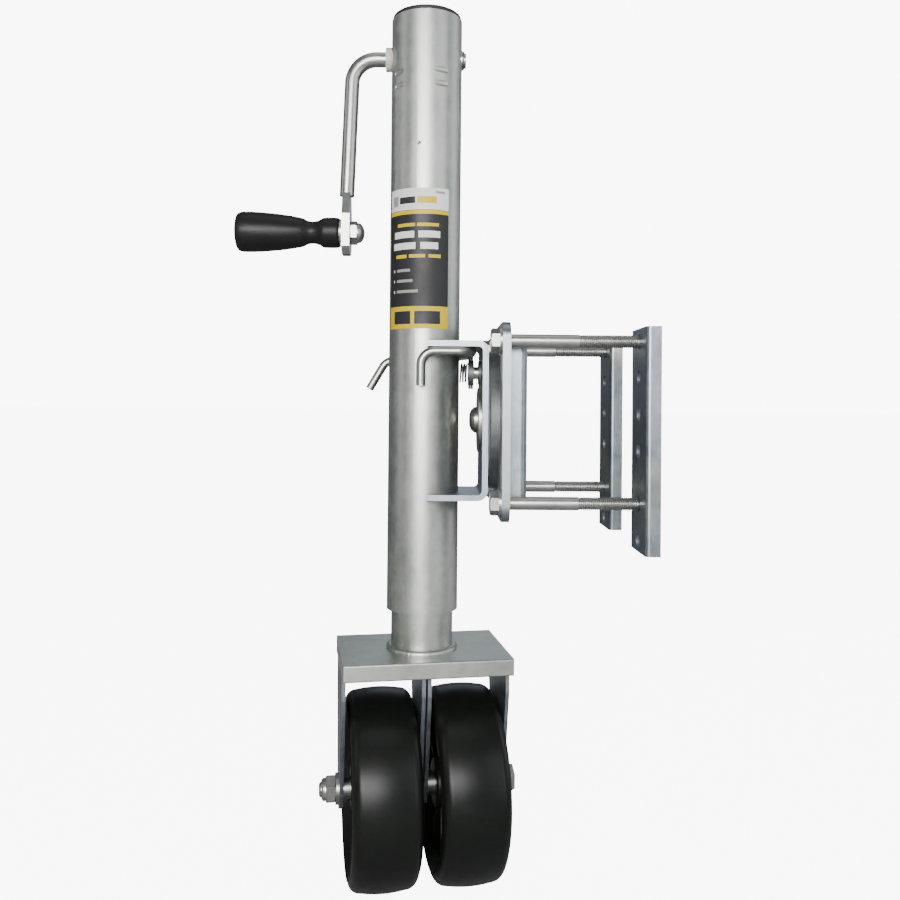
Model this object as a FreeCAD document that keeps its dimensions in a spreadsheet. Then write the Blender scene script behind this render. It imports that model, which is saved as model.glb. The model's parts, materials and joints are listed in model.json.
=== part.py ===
import FreeCAD, Part
import math
import os
import re
import Sketcher

# A side-wind trailer tongue jack that swings back on a bolted clamp and rolls on two wheels.
# Row frame: the origin is the middle of the face that bears on the tongue, on the swing axis.
# +X points into the tongue, +Z is up, and the tongue runs along Y. Sizes are in millimetres.

SIZES = {
    "standoff_depth": 14.6,
    "standoff_wall": 4,
    "standoff_width": 110,
    "standoff_height": 116,
    "plate_thickness": 6,
    "plate_width": 158,
    "plate_height": 148,
    "plate_corner": 12,
    "index_thickness": 7.6,
    "index_radius": 55,
    "swivel_gap": 0.3,
    "pivot_radius": 8,
    "pivot_head_radius": 10.5,
    "pivot_head_height": 6.5,
    "pivot_tail_radius": 12,
    "pivot_tail_height": 4,
    "pivot_washer_radius": 26,
    "pivot_washer_thickness": 2.4,
    "running_clearance": 0.05,
    "lock_height": 38,
    "lock_pin_radius": 5,
    "lock_clearance": 0.25,
    "lock_travel": 3.4,
    "lock_collar_radius": 10.2,
    "lock_collar_thickness": 4.4,
    "lock_cross_radius": 2,
    "lock_cross_drop": 13,
    "guide_flange_radius": 9.5,
    "guide_flange_thickness": 2,
    "guide_wall": 2,
    "spring_coil_radius": 7.2,
    "spring_wire_radius": 0.7,
    "release_rod_radius": 3.5,
    "release_rod_height": 53.8,
    "release_bend": 11,
    "bracket_thickness": 4.5,
    "bracket_height": 124,
    "bracket_depth": 76,
    "bracket_overlap": 3,
    "bracket_bend": 8,
    "web_clearance": 17.4,
    "bolt_span_y": 135,
    "bolt_span_z": 120,
    "bolt_radius": 5,
    "bolt_clearance": 0.6,
    "bolt_head_height": 6.4,
    "bolt_head_circumradius": 9.24,
    "bolt_washer_radius": 10.5,
    "bolt_washer_thickness": 2,
    "nut_height": 6.5,
    "nut_flange_radius": 10,
    "nut_flange_height": 1.6,
    "clamp_opening": 81,
    "clamp_travel": 30,
    "channel_wall": 3.6,
    "channel_width": 50,
    "channel_depth": 11,
    "channel_length": 165,
    "channel_top_margin": 10,
    "channel_pitch": 27,
    "tube_radius": 28.575,
    "tube_wall": 3.2,
    "tube_length": 475.7,
    "tube_drop": 152,
    "cap_dome": 4.4,
    "cap_rim": 3,
    "cap_plug_depth": 9,
    "cap_wall": 2,
    "stake_radius": 4,
    "stake_depth": 0.9,
    "stake_width": 11,
    "stake_upper_drop": 16.7,
    "stake_lower_drop": 27.4,
    "stake_angle": 38,
    "stake_turn": 12.5,
    "witness_hole_radius": 1.5,
    "witness_hole_drop": 106.4,
    "label_thickness": 0.3,
    "label_top_drop": 141.5,
    "label_height": 110.5,
    "label_start": 69,
    "label_sweep": 109,
    "crank_drop": 30.7,
    "crank_rod_radius": 6,
    "crank_reach": 64,
    "crank_throw": 142,
    "crank_bend": 20,
    "crank_splay": 4,
    "crank_flat_thickness": 6.5,
    "crank_flat_width": 23,
    "crank_flat_length": 40,
    "bush_flange_radius": 9.5,
    "bush_flange_thickness": 4.6,
    "bush_wall": 1.8,
    "bush_lip": 0.3,
    "shaft_end_height": 3.4,
    "gear_teeth": 18,
    "pinion_teeth": 12,
    "gear_module": 1.9,
    "gear_face": 6.4,
    "gear_back": 4.5,
    "seat_floor": 6,
    "seat_drop": 30,
    "seat_rim_radius": 21.8,
    "race_thickness": 1.25,
    "race_radius": 14,
    "ball_radius": 2,
    "ball_circle": 10.6,
    "ball_count": 12,
    "screw_radius": 8,
    "journal_radius": 6.5,
    "screw_collar_radius": 14,
    "screw_collar_height": 6,
    "screw_reach": 372,
    "nut_radius": 21,
    "lift_nut_height": 24,
    "lift_nut_drop": 52,
    "retainer_height": 4,
    "retainer_bore": 12,
    "leg_radius": 24.8,
    "leg_wall": 3,
    "leg_top_drop": 45.5,
    "leg_exposed": 32,
    "leg_yaw": 9.2,
    "carriage_width": 132,
    "carriage_depth": 92,
    "carriage_thickness": 13,
    "weld_size": 5,
    "axle_drop": 110,
    "yoke_gap": 1.6,
    "yoke_wall": 3,
    "yoke_inside": 59,
    "yoke_width": 62,
    "yoke_tip_radius": 16,
    "axle_radius": 6,
    "axle_nut_circumradius": 11,
    "axle_nut_height": 11,
    "axle_washer_radius": 12,
    "axle_washer_thickness": 2.4,
    "wheel_radius": 76.2,
    "wheel_width": 53.5,
    "wheel_hub_length": 45,
    "wheel_hub_radius": 19,
    "wheel_web_half": 10,
    "wheel_rim_radius": 61,
    "wheel_shoulder": 9,
    "wheel_crown": 1.6,
    "sleeve_wall": 1.5,
    "spacer_radius": 9.5,
    "grip_length": 84,
    "grip_end_radius": 16.5,
    "grip_waist_radius": 11.6,
    "grip_neck_radius": 8.7,
    "grip_flare_radius": 12.3,
    "grip_bolt_radius": 5,
    "grip_recess_radius": 9.5,
    "grip_recess_depth": 12,
    "grip_washer_radius": 11,
    "grip_washer_thickness": 2,
    "acorn_circumradius": 9.8,
    "acorn_hex_height": 6,
    "acorn_dome_height": 6,
}

# Places worked out from the sizes, written as the sheet's own expressions.
PLATE_FACE = "(-standoff_depth)"
INDEX_FACE = "(-standoff_depth - plate_thickness)"
WEB_RIGHT = "(-standoff_depth - plate_thickness - index_thickness - swivel_gap)"
WEB_LEFT = f"({WEB_RIGHT} - bracket_thickness)"
TUBE_X = f"({WEB_LEFT} - web_clearance - tube_radius)"
TUBE_TOP = "(tube_length - tube_drop)"
TUBE_BORE = "(tube_radius - tube_wall)"
CRANK_Z = f"({TUBE_TOP} - crank_drop)"
GRIP_Z = f"({CRANK_Z} - crank_throw)"
ARM_X = f"({TUBE_X} - crank_reach)"
GRIP_RIGHT = f"({ARM_X} - crank_flat_thickness/2 - grip_washer_thickness - running_clearance)"
CARRIAGE_TOP = "(-tube_drop - leg_exposed)"
AXLE_Z = f"({CARRIAGE_TOP} - axle_drop)"
LEG_TOP = f"({CRANK_Z} - leg_top_drop)"
LOCK_X = f"({WEB_LEFT} - guide_flange_thickness - 0.4 - lock_travel - lock_collar_thickness/2)"
CHANNEL_TOP = "(bolt_span_z/2 + channel_top_margin)"
YOKE_CENTRE = "(yoke_gap/2 + yoke_wall + yoke_inside/2)"
WHEEL_GAP = "(yoke_inside/2 - wheel_hub_length/2)"

doc = FreeCAD.newDocument("tongue_jack")
sheet = doc.addObject("Spreadsheet::Sheet", "Sizes")
for row, (alias, number) in enumerate(SIZES.items(), 1):
    sheet.set(f"A{row}", alias)
    sheet.set(f"B{row}", str(number))
    sheet.setAlias(f"B{row}", alias)
doc.recompute()
pieces = []


def bind(text):
    """Turn plain size names into references to the sheet."""
    return re.sub(r"\b([a-z][a-z_]*)\b(?!\()", r"Sizes.\1", text)


def value(text):
    """Work an expression out now, in millimetres or degrees."""
    return float(sheet.evalExpression(bind(text)))


def place(thing, x="0", y="0", z="0", angle=None):
    """Put an object at x, y, z, and turn it about Z by an angle held in the sheet."""
    if angle:
        turn = FreeCAD.Rotation(FreeCAD.Vector(0, 0, 1), value(angle))
        thing.Placement = FreeCAD.Placement(FreeCAD.Vector(), turn)
        thing.setExpression("Placement.Rotation.Angle", bind(angle))
    for letter, text in (("x", x), ("y", y), ("z", z)):
        thing.setExpression(f"Placement.Base.{letter}", bind(text))


def keep(thing, label):
    """Name a finished piece, so that it is written out under that name."""
    thing.Label = label
    pieces.append(thing)
    return thing


def new_body(label):
    return doc.addObject("PartDesign::Body", label + "_body")


def profile(body, role, points, circles=()):
    """A sketch of one closed outline and any round holes, every corner tied to the sheet."""
    plane = next(part for part in body.Origin.OriginFeatures if part.Role == role)
    sketch = body.newObject("Sketcher::SketchObject", "Outline")
    sketch.AttachmentSupport = [(plane, "")]
    sketch.MapMode = "FlatFace"
    corners = [FreeCAD.Vector(value(a), value(b), 0) for a, b in points]
    for start, end in zip(corners, corners[1:] + corners[:1]):
        sketch.addGeometry(Part.LineSegment(start, end))
    for index, (a, b) in enumerate(points):
        sketch.addConstraint(Sketcher.Constraint("Coincident", index, 2, (index + 1) % len(points), 1))
        for kind, text in (("DistanceX", a), ("DistanceY", b)):
            number = sketch.addConstraint(Sketcher.Constraint(kind, -1, 1, index, 1, value(text)))
            sketch.setExpression(f"Constraints[{number}]", bind(text))
    for a, b, radius in circles:
        centre = FreeCAD.Vector(value(a), value(b), 0)
        circle = sketch.addGeometry(Part.Circle(centre, FreeCAD.Vector(0, 0, 1), value(radius)))
        for kind, text in (("DistanceX", a), ("DistanceY", b)):
            number = sketch.addConstraint(Sketcher.Constraint(kind, -1, 1, circle, 3, value(text)))
            sketch.setExpression(f"Constraints[{number}]", bind(text))
        number = sketch.addConstraint(Sketcher.Constraint("Radius", circle, value(radius)))
        sketch.setExpression(f"Constraints[{number}]", bind(radius))
    return sketch


def turned(label, axis, points, x="0", y="0", z="0", angle=None, sweep=None):
    """A lathe piece: the outline is (radius, height) about Z, or (length, radius) about X."""
    body = new_body(label)
    sketch = profile(body, "XZ_Plane", points)
    turn = body.newObject("PartDesign::Revolution", "Turn")
    turn.Profile = sketch
    turn.ReferenceAxis = (sketch, ["V_Axis" if axis == "z" else "H_Axis"])
    turn.Angle = 360
    if sweep:
        turn.setExpression("Angle", bind(sweep))
    place(body, x, y, z, angle)
    return body


def pressed(label, role, points, length, circles=(), x="0", y="0", z="0", angle=None, middle=False):
    """A plate or bar: the outline is pushed out by a length, or by half of it to each side."""
    body = new_body(label)
    sketch = profile(body, role, points, circles)
    pad = body.newObject("PartDesign::Pad", "Push")
    pad.Profile = sketch
    pad.setExpression("Length", bind(length))
    if middle:
        pad.SideType = "Symmetric"
    place(body, x, y, z, angle)
    return body


def rounded(body, radius, chosen):
    """Round the edges of a body's last feature that a test picks."""
    doc.recompute()
    base = body.Tip
    names = [f"Edge{i}" for i, edge in enumerate(base.Shape.Edges, 1) if chosen(edge)]
    fillet = body.newObject("PartDesign::Fillet", "Round")
    fillet.Base = (base, names)
    fillet.setExpression("Radius", bind(radius))
    return body


def runs_along(edge, direction):
    """True for a straight edge that lies along a direction."""
    if not isinstance(edge.Curve, (Part.Line, Part.LineSegment)):
        return False
    return abs(edge.Curve.Direction.dot(FreeCAD.Vector(*direction))) > 0.999


def rod(axis, radius, length, x, y, z, turn="0"):
    """A plain round bar from x, y, z along an axis, used for cutting and joining."""
    bar = doc.addObject("Part::Cylinder", "Bar")
    bar.setExpression("Radius", bind(radius))
    bar.setExpression("Height", bind(length))
    about = {"x": FreeCAD.Vector(0, 1, 0), "y": FreeCAD.Vector(-1, 0, 0), "z": FreeCAD.Vector(0, 0, 1)}
    angle = {"x": 90, "y": 90, "z": 0}
    bar.Placement = FreeCAD.Placement(FreeCAD.Vector(), FreeCAD.Rotation(about[axis], angle[axis]))
    place(bar, x, y, z)
    return bar


def fused(*parts):
    whole = doc.addObject("Part::MultiFuse", "Whole")
    whole.Shapes = list(parts)
    whole.Refine = True
    return whole


def cut(base, *tools):
    result = doc.addObject("Part::Cut", "Drilled")
    result.Base = base
    result.Tool = tools[0] if len(tools) == 1 else fused(*tools)
    return result


def hexagon(circumradius, height, x, y, z):
    """A hexagonal prism that stands along X."""
    prism = doc.addObject("Part::Prism", "Hexagon")
    prism.Polygon = 6
    prism.setExpression("Circumradius", bind(circumradius))
    prism.setExpression("Height", bind(height))
    turn = FreeCAD.Rotation(FreeCAD.Vector(0, 1, 0), 90)
    prism.Placement = FreeCAD.Placement(FreeCAD.Vector(), turn)
    place(prism, x, y, z)
    return prism


def group(parts):
    """Several equal pieces that share one node."""
    together = doc.addObject("Part::Compound", "Set")
    together.Links = list(parts)
    return together


def bent_bar(label, points, radius, bend):
    """A round bar along straight runs joined by tangent arcs, from the sheet's numbers."""
    corners = [FreeCAD.Vector(*[value(text) for text in point]) for point in points]
    edges = []
    start = corners[0]
    for before, corner, after in zip(corners, corners[1:], corners[2:]):
        back = (before - corner).normalize()
        ahead = (after - corner).normalize()
        half = back.getAngle(ahead) / 2
        setback = value(bend) / math.tan(half)
        first = corner + back * setback
        last = corner + ahead * setback
        centre = corner + (back + ahead).normalize() * (value(bend) / math.sin(half))
        middle = centre + (corner - centre).normalize() * value(bend)
        edges.append(Part.LineSegment(start, first).toShape())
        edges.append(Part.Arc(first, middle, last).toShape())
        start = last
    edges.append(Part.LineSegment(start, corners[-1]).toShape())
    path = Part.Wire(edges)
    section = Part.Wire(Part.makeCircle(value(radius), corners[0], corners[1] - corners[0]))
    bar = doc.addObject("Part::Feature", label + "_bar")
    bar.Shape = path.makePipeShell([section], True, False)
    return bar


def clamp_places():
    """The four clamp bolts: front and rear, above and below the tongue."""
    return [(f"({a})*bolt_span_y/2", f"({b})*bolt_span_z/2") for a in (-1, 1) for b in (-1, 1)]


# ---------------------------------------------------------------- the clamp on the tongue

def standoff_channel():
    """The folded channel whose web bears on the tongue and clears the pivot's tail."""
    half, wall = "standoff_width/2", "standoff_wall"
    outline = [
        (PLATE_FACE, f"-{half}"), ("0", f"-{half}"), ("0", half), (PLATE_FACE, half),
        (PLATE_FACE, f"{half} - {wall}"), (f"-{wall}", f"{half} - {wall}"),
        (f"-{wall}", f"-{half} + {wall}"), (PLATE_FACE, f"-{half} + {wall}"),
    ]
    body = pressed("standoff_channel", "XY_Plane", outline, "standoff_height", middle=True)
    rounded(body, "standoff_wall*1.2", lambda edge: runs_along(edge, (0, 0, 1))
            and edge.CenterOfMass.x > -0.01)
    keep(body, "standoff_channel")


def mount_plate():
    """The thick plate that the clamp bolts and the pivot go through."""
    wide, high = "plate_width/2", "plate_height/2"
    outline = [(f"-{wide}", f"-{high}"), (wide, f"-{high}"), (wide, high), (f"-{wide}", high)]
    holes = [(y, z, "bolt_radius + bolt_clearance") for y, z in clamp_places()]
    holes += [("0", "0", "pivot_radius")]
    body = pressed("mount_plate", "YZ_Plane", outline, "plate_thickness", holes, x=INDEX_FACE)
    rounded(body, "plate_corner", lambda edge: runs_along(edge, (1, 0, 0))
            and abs(edge.CenterOfMass.y) > value("plate_width/2") - 1)
    keep(body, "mount_plate")


def index_disc():
    """The round swivel face, with a lock hole at the top and at each side."""
    bore, face = "pivot_radius", f"{WEB_RIGHT} + swivel_gap"
    outline = [(face, bore), (INDEX_FACE, bore), (INDEX_FACE, "index_radius"),
               (f"{face} + 1", "index_radius"), (face, "index_radius - 1")]
    disc = turned("index_disc", "x", outline)
    spots = (("0", "lock_height"), ("lock_height", "0"), ("-lock_height", "0"))
    holes = [rod("x", "lock_pin_radius + lock_clearance", "index_thickness + 2", f"{face} - 1", y, z)
             for y, z in spots]
    keep(cut(disc, *holes), "index_disc")


def pivot_pin():
    """The big rivet that the jack swings on, domed outside and headed over inside."""
    washer_left = f"({WEB_LEFT} - running_clearance - pivot_washer_thickness)"
    head = f"({washer_left} - pivot_head_height)"
    tail = f"({PLATE_FACE} + pivot_tail_height)"
    outline = [
        (head, "0"), (head, "pivot_head_radius*0.45"), (f"{head} + pivot_head_height*0.22",
         "pivot_head_radius*0.78"), (f"{head} + pivot_head_height*0.6", "pivot_head_radius"),
        (washer_left, "pivot_head_radius"), (washer_left, "pivot_radius"),
        (PLATE_FACE, "pivot_radius"), (PLATE_FACE, "pivot_tail_radius"),
        (f"{tail} - 1", "pivot_tail_radius"), (tail, "pivot_tail_radius - 2"), (tail, "0"),
    ]
    keep(turned("pivot_pin", "x", outline), "pivot_pin")
    right = f"({WEB_LEFT} - running_clearance)"
    ring = [(washer_left, "pivot_radius"), (right, "pivot_radius"), (right, "pivot_washer_radius"),
            (f"{washer_left} + 0.6", "pivot_washer_radius"), (washer_left, "pivot_washer_radius - 0.6")]
    keep(turned("pivot_washer", "x", ring), "pivot_washer")


def clamp_bolts():
    """Four long hexagon bolts with washers under their heads."""
    under_head = f"({INDEX_FACE} - bolt_washer_thickness)"
    end = "(clamp_opening + channel_wall + nut_height + 1)"
    bolts, washers = [], []
    for y, z in clamp_places():
        head = hexagon("bolt_head_circumradius", "bolt_head_height", f"{under_head} - bolt_head_height", y, z)
        shank = turned("shank", "x", [(under_head, "0"), (end, "0"), (end, "bolt_radius - 1"),
                                      (f"{end} - 1", "bolt_radius"), (under_head, "bolt_radius")], y=y, z=z)
        bolts.append(fused(head, shank))
        washers.append(turned("washer", "x", [
            (under_head, "bolt_radius"), (INDEX_FACE, "bolt_radius"),
            (INDEX_FACE, "bolt_washer_radius"), (under_head, "bolt_washer_radius")], y=y, z=z))
    keep(group(bolts), "clamp_bolts")
    keep(group(washers), "clamp_bolt_washers")


def backing_channels():
    """The two drilled channels behind the tongue, and their flange nuts."""
    wide, wall, deep = "channel_width/2", "channel_wall", "channel_depth"
    outline = [
        ("0", f"-{wide}"), (deep, f"-{wide}"), (deep, f"-{wide} + {wall}"), (wall, f"-{wide} + {wall}"),
        (wall, f"{wide} - {wall}"), (deep, f"{wide} - {wall}"), (deep, wide), ("0", wide),
    ]
    drops = [f"bolt_span_z/2 - {step}*channel_pitch" for step in range(4)]
    drops += ["-bolt_span_z/2", "-bolt_span_z/2 - channel_pitch"]
    for name, side in (("front", "-1"), ("rear", "1")):
        y = f"({side})*bolt_span_y/2"
        body = pressed("channel", "XY_Plane", outline, "channel_length",
                       x="clamp_opening", y=y, z=f"{CHANNEL_TOP} - channel_length")
        rounded(body, "channel_wall*0.9", lambda edge: runs_along(edge, (0, 0, 1))
                and edge.CenterOfMass.x < 0.01)
        holes = [rod("x", "bolt_radius + bolt_clearance", "channel_wall + 2", "clamp_opening - 1", y, z)
                 for z in drops]
        keep(cut(body, *holes), f"backing_channel_{name}")
    seat = "(clamp_opening + channel_wall)"
    nuts = []
    for y, z in clamp_places():
        prism = hexagon("bolt_head_circumradius", "nut_height", seat, y, z)
        flange = rod("x", "nut_flange_radius", "nut_flange_height", seat, y, z)
        bore = rod("x", "bolt_radius + running_clearance", "nut_height + 2", f"{seat} - 1", y, z)
        nuts.append(cut(fused(prism, flange), bore))
    keep(group(nuts), "clamp_nuts")


# ---------------------------------------------------------------- the outer tube and its bracket

def outer_tube():
    """The main tube, drilled for the crank shaft and staked over the gear seat."""
    wall = [(TUBE_BORE, "-tube_drop"), ("tube_radius", "-tube_drop"),
            ("tube_radius", TUBE_TOP), (TUBE_BORE, TUBE_TOP)]
    tube = turned("outer_tube", "z", wall, x=TUBE_X)
    tools = [rod("x", "crank_rod_radius + bush_wall", "tube_radius*2 + 4",
                 f"{TUBE_X} - tube_radius - 2", "0", CRANK_Z)]
    tools.append(rod("y", "witness_hole_radius", "tube_wall*2",
                     f"{TUBE_X} - 5", "-tube_radius - 1", f"{TUBE_TOP} - witness_hole_drop"))
    reach = "(tube_radius + stake_radius - stake_depth)"
    for drop in ("stake_upper_drop", "stake_lower_drop"):
        for side, start in ((-1, 0), (1, 0), (-1, 180), (1, 180)):
            bearing = f"(270 - stake_turn + {start} + {side}*stake_angle)"
            dent = rod("x", "stake_radius", "stake_width", "0", "0", "0")
            east = FreeCAD.Rotation(FreeCAD.Vector(0, 0, 1), value(bearing) + 90)
            dent.Placement = FreeCAD.Placement(FreeCAD.Vector(), east * dent.Placement.Rotation)
            place(dent, f"{TUBE_X} + {reach}*cos({bearing}) - stake_width/2*cos({bearing} + 90)",
                  f"{reach}*sin({bearing}) - stake_width/2*sin({bearing} + 90)",
                  f"{CRANK_Z} - {drop}")
            tools.append(dent)
    keep(cut(tube, *tools), "outer_tube")


def top_cap():
    """The pressed-in plastic cap."""
    edge, plug = "(tube_radius - 0.8)", f"({TUBE_BORE} - running_clearance)"
    outline = [
        ("0", "cap_dome"), (f"{edge} - 3.2", "cap_dome*0.98"), (f"{edge} - 1.2", "cap_dome*0.9"),
        (f"{edge} - 0.3", "cap_rim*1.1"), (edge, "cap_rim*0.8"), (edge, "0"), (plug, "0"),
        (plug, "-cap_plug_depth"), (f"{plug} - cap_wall", "-cap_plug_depth"),
        (f"{plug} - cap_wall", "-0.2"), ("0", "cap_dome - cap_wall*1.3"),
    ]
    keep(turned("top_cap", "z", outline, x=TUBE_X, z=TUBE_TOP), "top_cap")


def tube_bracket():
    """The C strap welded round the tube, whose web turns against the index disc."""
    high, wall = "bracket_height/2", "bracket_thickness"
    left = f"({TUBE_X} + bracket_overlap)"
    outline = [
        (left, high), (WEB_RIGHT, high), (WEB_RIGHT, f"-{high}"), (left, f"-{high}"),
        (left, f"-{high} + {wall}"), (WEB_LEFT, f"-{high} + {wall}"),
        (WEB_LEFT, f"{high} - {wall}"), (left, f"{high} - {wall}"),
    ]
    body = pressed("tube_bracket", "XZ_Plane", outline, "bracket_depth", middle=True)
    rounded(body, "bracket_bend", lambda edge: runs_along(edge, (0, 1, 0))
            and abs(edge.CenterOfMass.x - value(WEB_RIGHT)) < 0.01)
    rounded(body, "bracket_bend - bracket_thickness", lambda edge: runs_along(edge, (0, 1, 0))
            and abs(edge.CenterOfMass.x - value(WEB_LEFT)) < 0.01)
    saddle = rod("z", "tube_radius", "bracket_height + 10", TUBE_X, "0", "-bracket_height/2 - 5")
    pivot = rod("x", "pivot_radius + running_clearance", "bracket_thickness + 4", f"{WEB_LEFT} - 2", "0", "0")
    lock = rod("x", "lock_pin_radius + guide_wall", "bracket_thickness + 4", f"{WEB_LEFT} - 2", "0",
               "lock_height")
    keep(cut(body, saddle, pivot, lock), "tube_bracket")


def lock_guide():
    """The dark bush in the web that the lock pin slides in."""
    bore, body_radius = "(lock_pin_radius + running_clearance)", "(lock_pin_radius + guide_wall)"
    flange = f"({WEB_LEFT} - guide_flange_thickness)"
    outline = [(flange, bore), (WEB_RIGHT, bore), (WEB_RIGHT, body_radius), (WEB_LEFT, body_radius),
               (WEB_LEFT, "guide_flange_radius"), (flange, "guide_flange_radius")]
    keep(turned("lock_guide", "x", outline, z="lock_height"), "lock_guide")


def label_plate():
    """The thin wrapped label, which carries plain bands only."""
    outline = [("tube_radius", "0"), ("tube_radius + label_thickness", "0"),
               ("tube_radius + label_thickness", "label_height"), ("tube_radius", "label_height")]
    body = turned("label_plate", "z", outline, sweep="label_sweep")
    place(body, TUBE_X, "0", f"{TUBE_TOP} - label_top_drop - label_height", angle="(270 - label_start)")
    keep(body, "label_plate")


# ---------------------------------------------------------------- the lock pin and its handle

def lock_pin():
    """The spring plunger: pin, collar and cross pin, drawn back clear of the index disc."""
    tip = f"({WEB_RIGHT} - 0.2)"
    tail = f"({LOCK_X} - lock_collar_thickness/2)"
    outline = [(tail, "0"), (tip, "0"), (tip, "lock_pin_radius - 1"), (f"{tip} - 1", "lock_pin_radius"),
               (tail, "lock_pin_radius")]
    cross = rod("z", "lock_cross_radius", "release_rod_height - lock_height + lock_cross_drop",
                LOCK_X, "0", "lock_height - lock_cross_drop")
    keep(cut(turned("lock_pin", "x", outline, z="lock_height"),
             rod("z", "lock_cross_radius", "40", LOCK_X, "0", "lock_height - 20")), "lock_pin")
    right = f"({LOCK_X} + lock_collar_thickness/2)"
    ring = [(tail, "lock_pin_radius"), (right, "lock_pin_radius"), (right, "lock_collar_radius"),
            (tail, "lock_collar_radius")]
    collar = turned("collar", "x", ring, z="lock_height")
    keep(cut(collar, rod("z", "lock_cross_radius", "60", LOCK_X, "0", "lock_height - 30")), "lock_collar")
    keep(cross, "lock_cross_pin")


def release_handle():
    """The bent pull rod that passes round the tube, through the head of the cross pin."""
    front, back = "(-tube_radius - 9)", "(tube_radius + 10)"
    height = "release_rod_height"
    points = [
        (f"{TUBE_X} - 2", front, f"{height} - 27"), (f"{TUBE_X} - 2", front, height),
        (LOCK_X, front, height), (LOCK_X, back, height),
        (f"{TUBE_X} - 33", back, f"{height} - 5"), (f"{TUBE_X} - 47", back, f"{height} - 29"),
    ]
    bar = bent_bar("release", points, "release_rod_radius", "release_bend")
    hole = rod("z", "lock_cross_radius", "30", LOCK_X, "0", f"{height} - 30")
    keep(cut(bar, hole), "release_handle")


def lock_spring():
    """The short coil spring between the tube and the lock collar."""
    left = f"({TUBE_X} + tube_radius + spring_wire_radius + 0.15)"
    length = f"({LOCK_X} - lock_collar_thickness/2 - 0.15 - spring_wire_radius - {left})"
    helix = doc.addObject("Part::Helix", "Coil")
    helix.setExpression("Radius", bind("spring_coil_radius"))
    helix.setExpression("Height", bind(length))
    helix.setExpression("Pitch", bind(f"{length}/2.5"))
    wire = doc.addObject("Part::Circle", "WireSection")
    wire.setExpression("Radius", bind("spring_wire_radius"))
    wire.Placement = FreeCAD.Placement(FreeCAD.Vector(), FreeCAD.Rotation(FreeCAD.Vector(1, 0, 0), 90))
    place(wire, "spring_coil_radius")
    sweep = doc.addObject("Part::Sweep", "Spring")
    sweep.Sections = [wire]
    sweep.Spine = (helix, ["Edge1"])
    sweep.Solid = True
    sweep.Frenet = True
    turn = FreeCAD.Rotation(FreeCAD.Vector(0, 1, 0), 90)
    sweep.Placement = FreeCAD.Placement(FreeCAD.Vector(), turn)
    place(sweep, left, "0", "lock_height")
    keep(sweep, "lock_spring")


# ---------------------------------------------------------------- crank, gears and screw

def crank_handle():
    """The bent crank rod with its flattened end."""
    flat_top = f"({GRIP_Z} + crank_flat_length*0.55)"
    bar = bent_bar("crank", [
        (f"{TUBE_X} + tube_radius + shaft_end_height", "0", CRANK_Z), (f"{ARM_X} + crank_splay", "0", CRANK_Z),
        (ARM_X, "0", f"{flat_top} + 8")], "crank_rod_radius", "crank_bend")
    half, thin = "crank_flat_width/2", "crank_flat_thickness"
    flat = pressed("flat", "YZ_Plane", [
        (f"-{half}", f"-crank_flat_length*0.45 + {half}*0.5"), (f"-{half}*0.5", "-crank_flat_length*0.45"),
        (f"{half}*0.5", "-crank_flat_length*0.45"), (half, f"-crank_flat_length*0.45 + {half}*0.5"),
        (half, "crank_flat_length*0.35"), ("crank_rod_radius", "crank_flat_length*0.55 + 10"),
        ("-crank_rod_radius", "crank_flat_length*0.55 + 10"), (f"-{half}", "crank_flat_length*0.35")],
        thin, x=f"{ARM_X} - {thin}/2", z=GRIP_Z)
    hole = rod("x", "grip_bolt_radius", f"{thin} + 10", f"{ARM_X} - {thin}/2 - 5", "0", GRIP_Z)
    keep(cut(fused(bar, flat), hole), "crank_handle")


def crank_bushes():
    """The pale bushes that carry the crank shaft in the tube's walls."""
    bore, body_radius = "(crank_rod_radius + running_clearance)", "(crank_rod_radius + bush_wall)"
    for label, side, flange, flange_radius in (
            ("crank_bush_left", "-1", "bush_flange_thickness", "bush_flange_radius"),
            ("crank_bush_right", "1", "bush_lip", f"({body_radius} + bush_lip)")):
        outer = f"({side})*(tube_radius + {flange})"
        seat, inner = f"({side})*tube_radius", f"({side})*({TUBE_BORE} - 1.2)"
        outline = [(outer, bore), (inner, bore), (inner, body_radius), (seat, body_radius),
                   (seat, flange_radius), (outer, flange_radius)]
        body = turned(label, "x", outline, x=TUBE_X, z=CRANK_Z)
        bore_tool = rod("z", TUBE_BORE, "40", TUBE_X, "0", f"{CRANK_Z} - 20")
        shell = cut(rod("z", "tube_radius", "40", TUBE_X, "0", f"{CRANK_Z} - 20"), bore_tool)
        hole = rod("x", body_radius, "tube_radius*2 + 4", f"{TUBE_X} - tube_radius - 2", "0", CRANK_Z)
        keep(cut(body, cut(shell, hole)), label)


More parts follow.
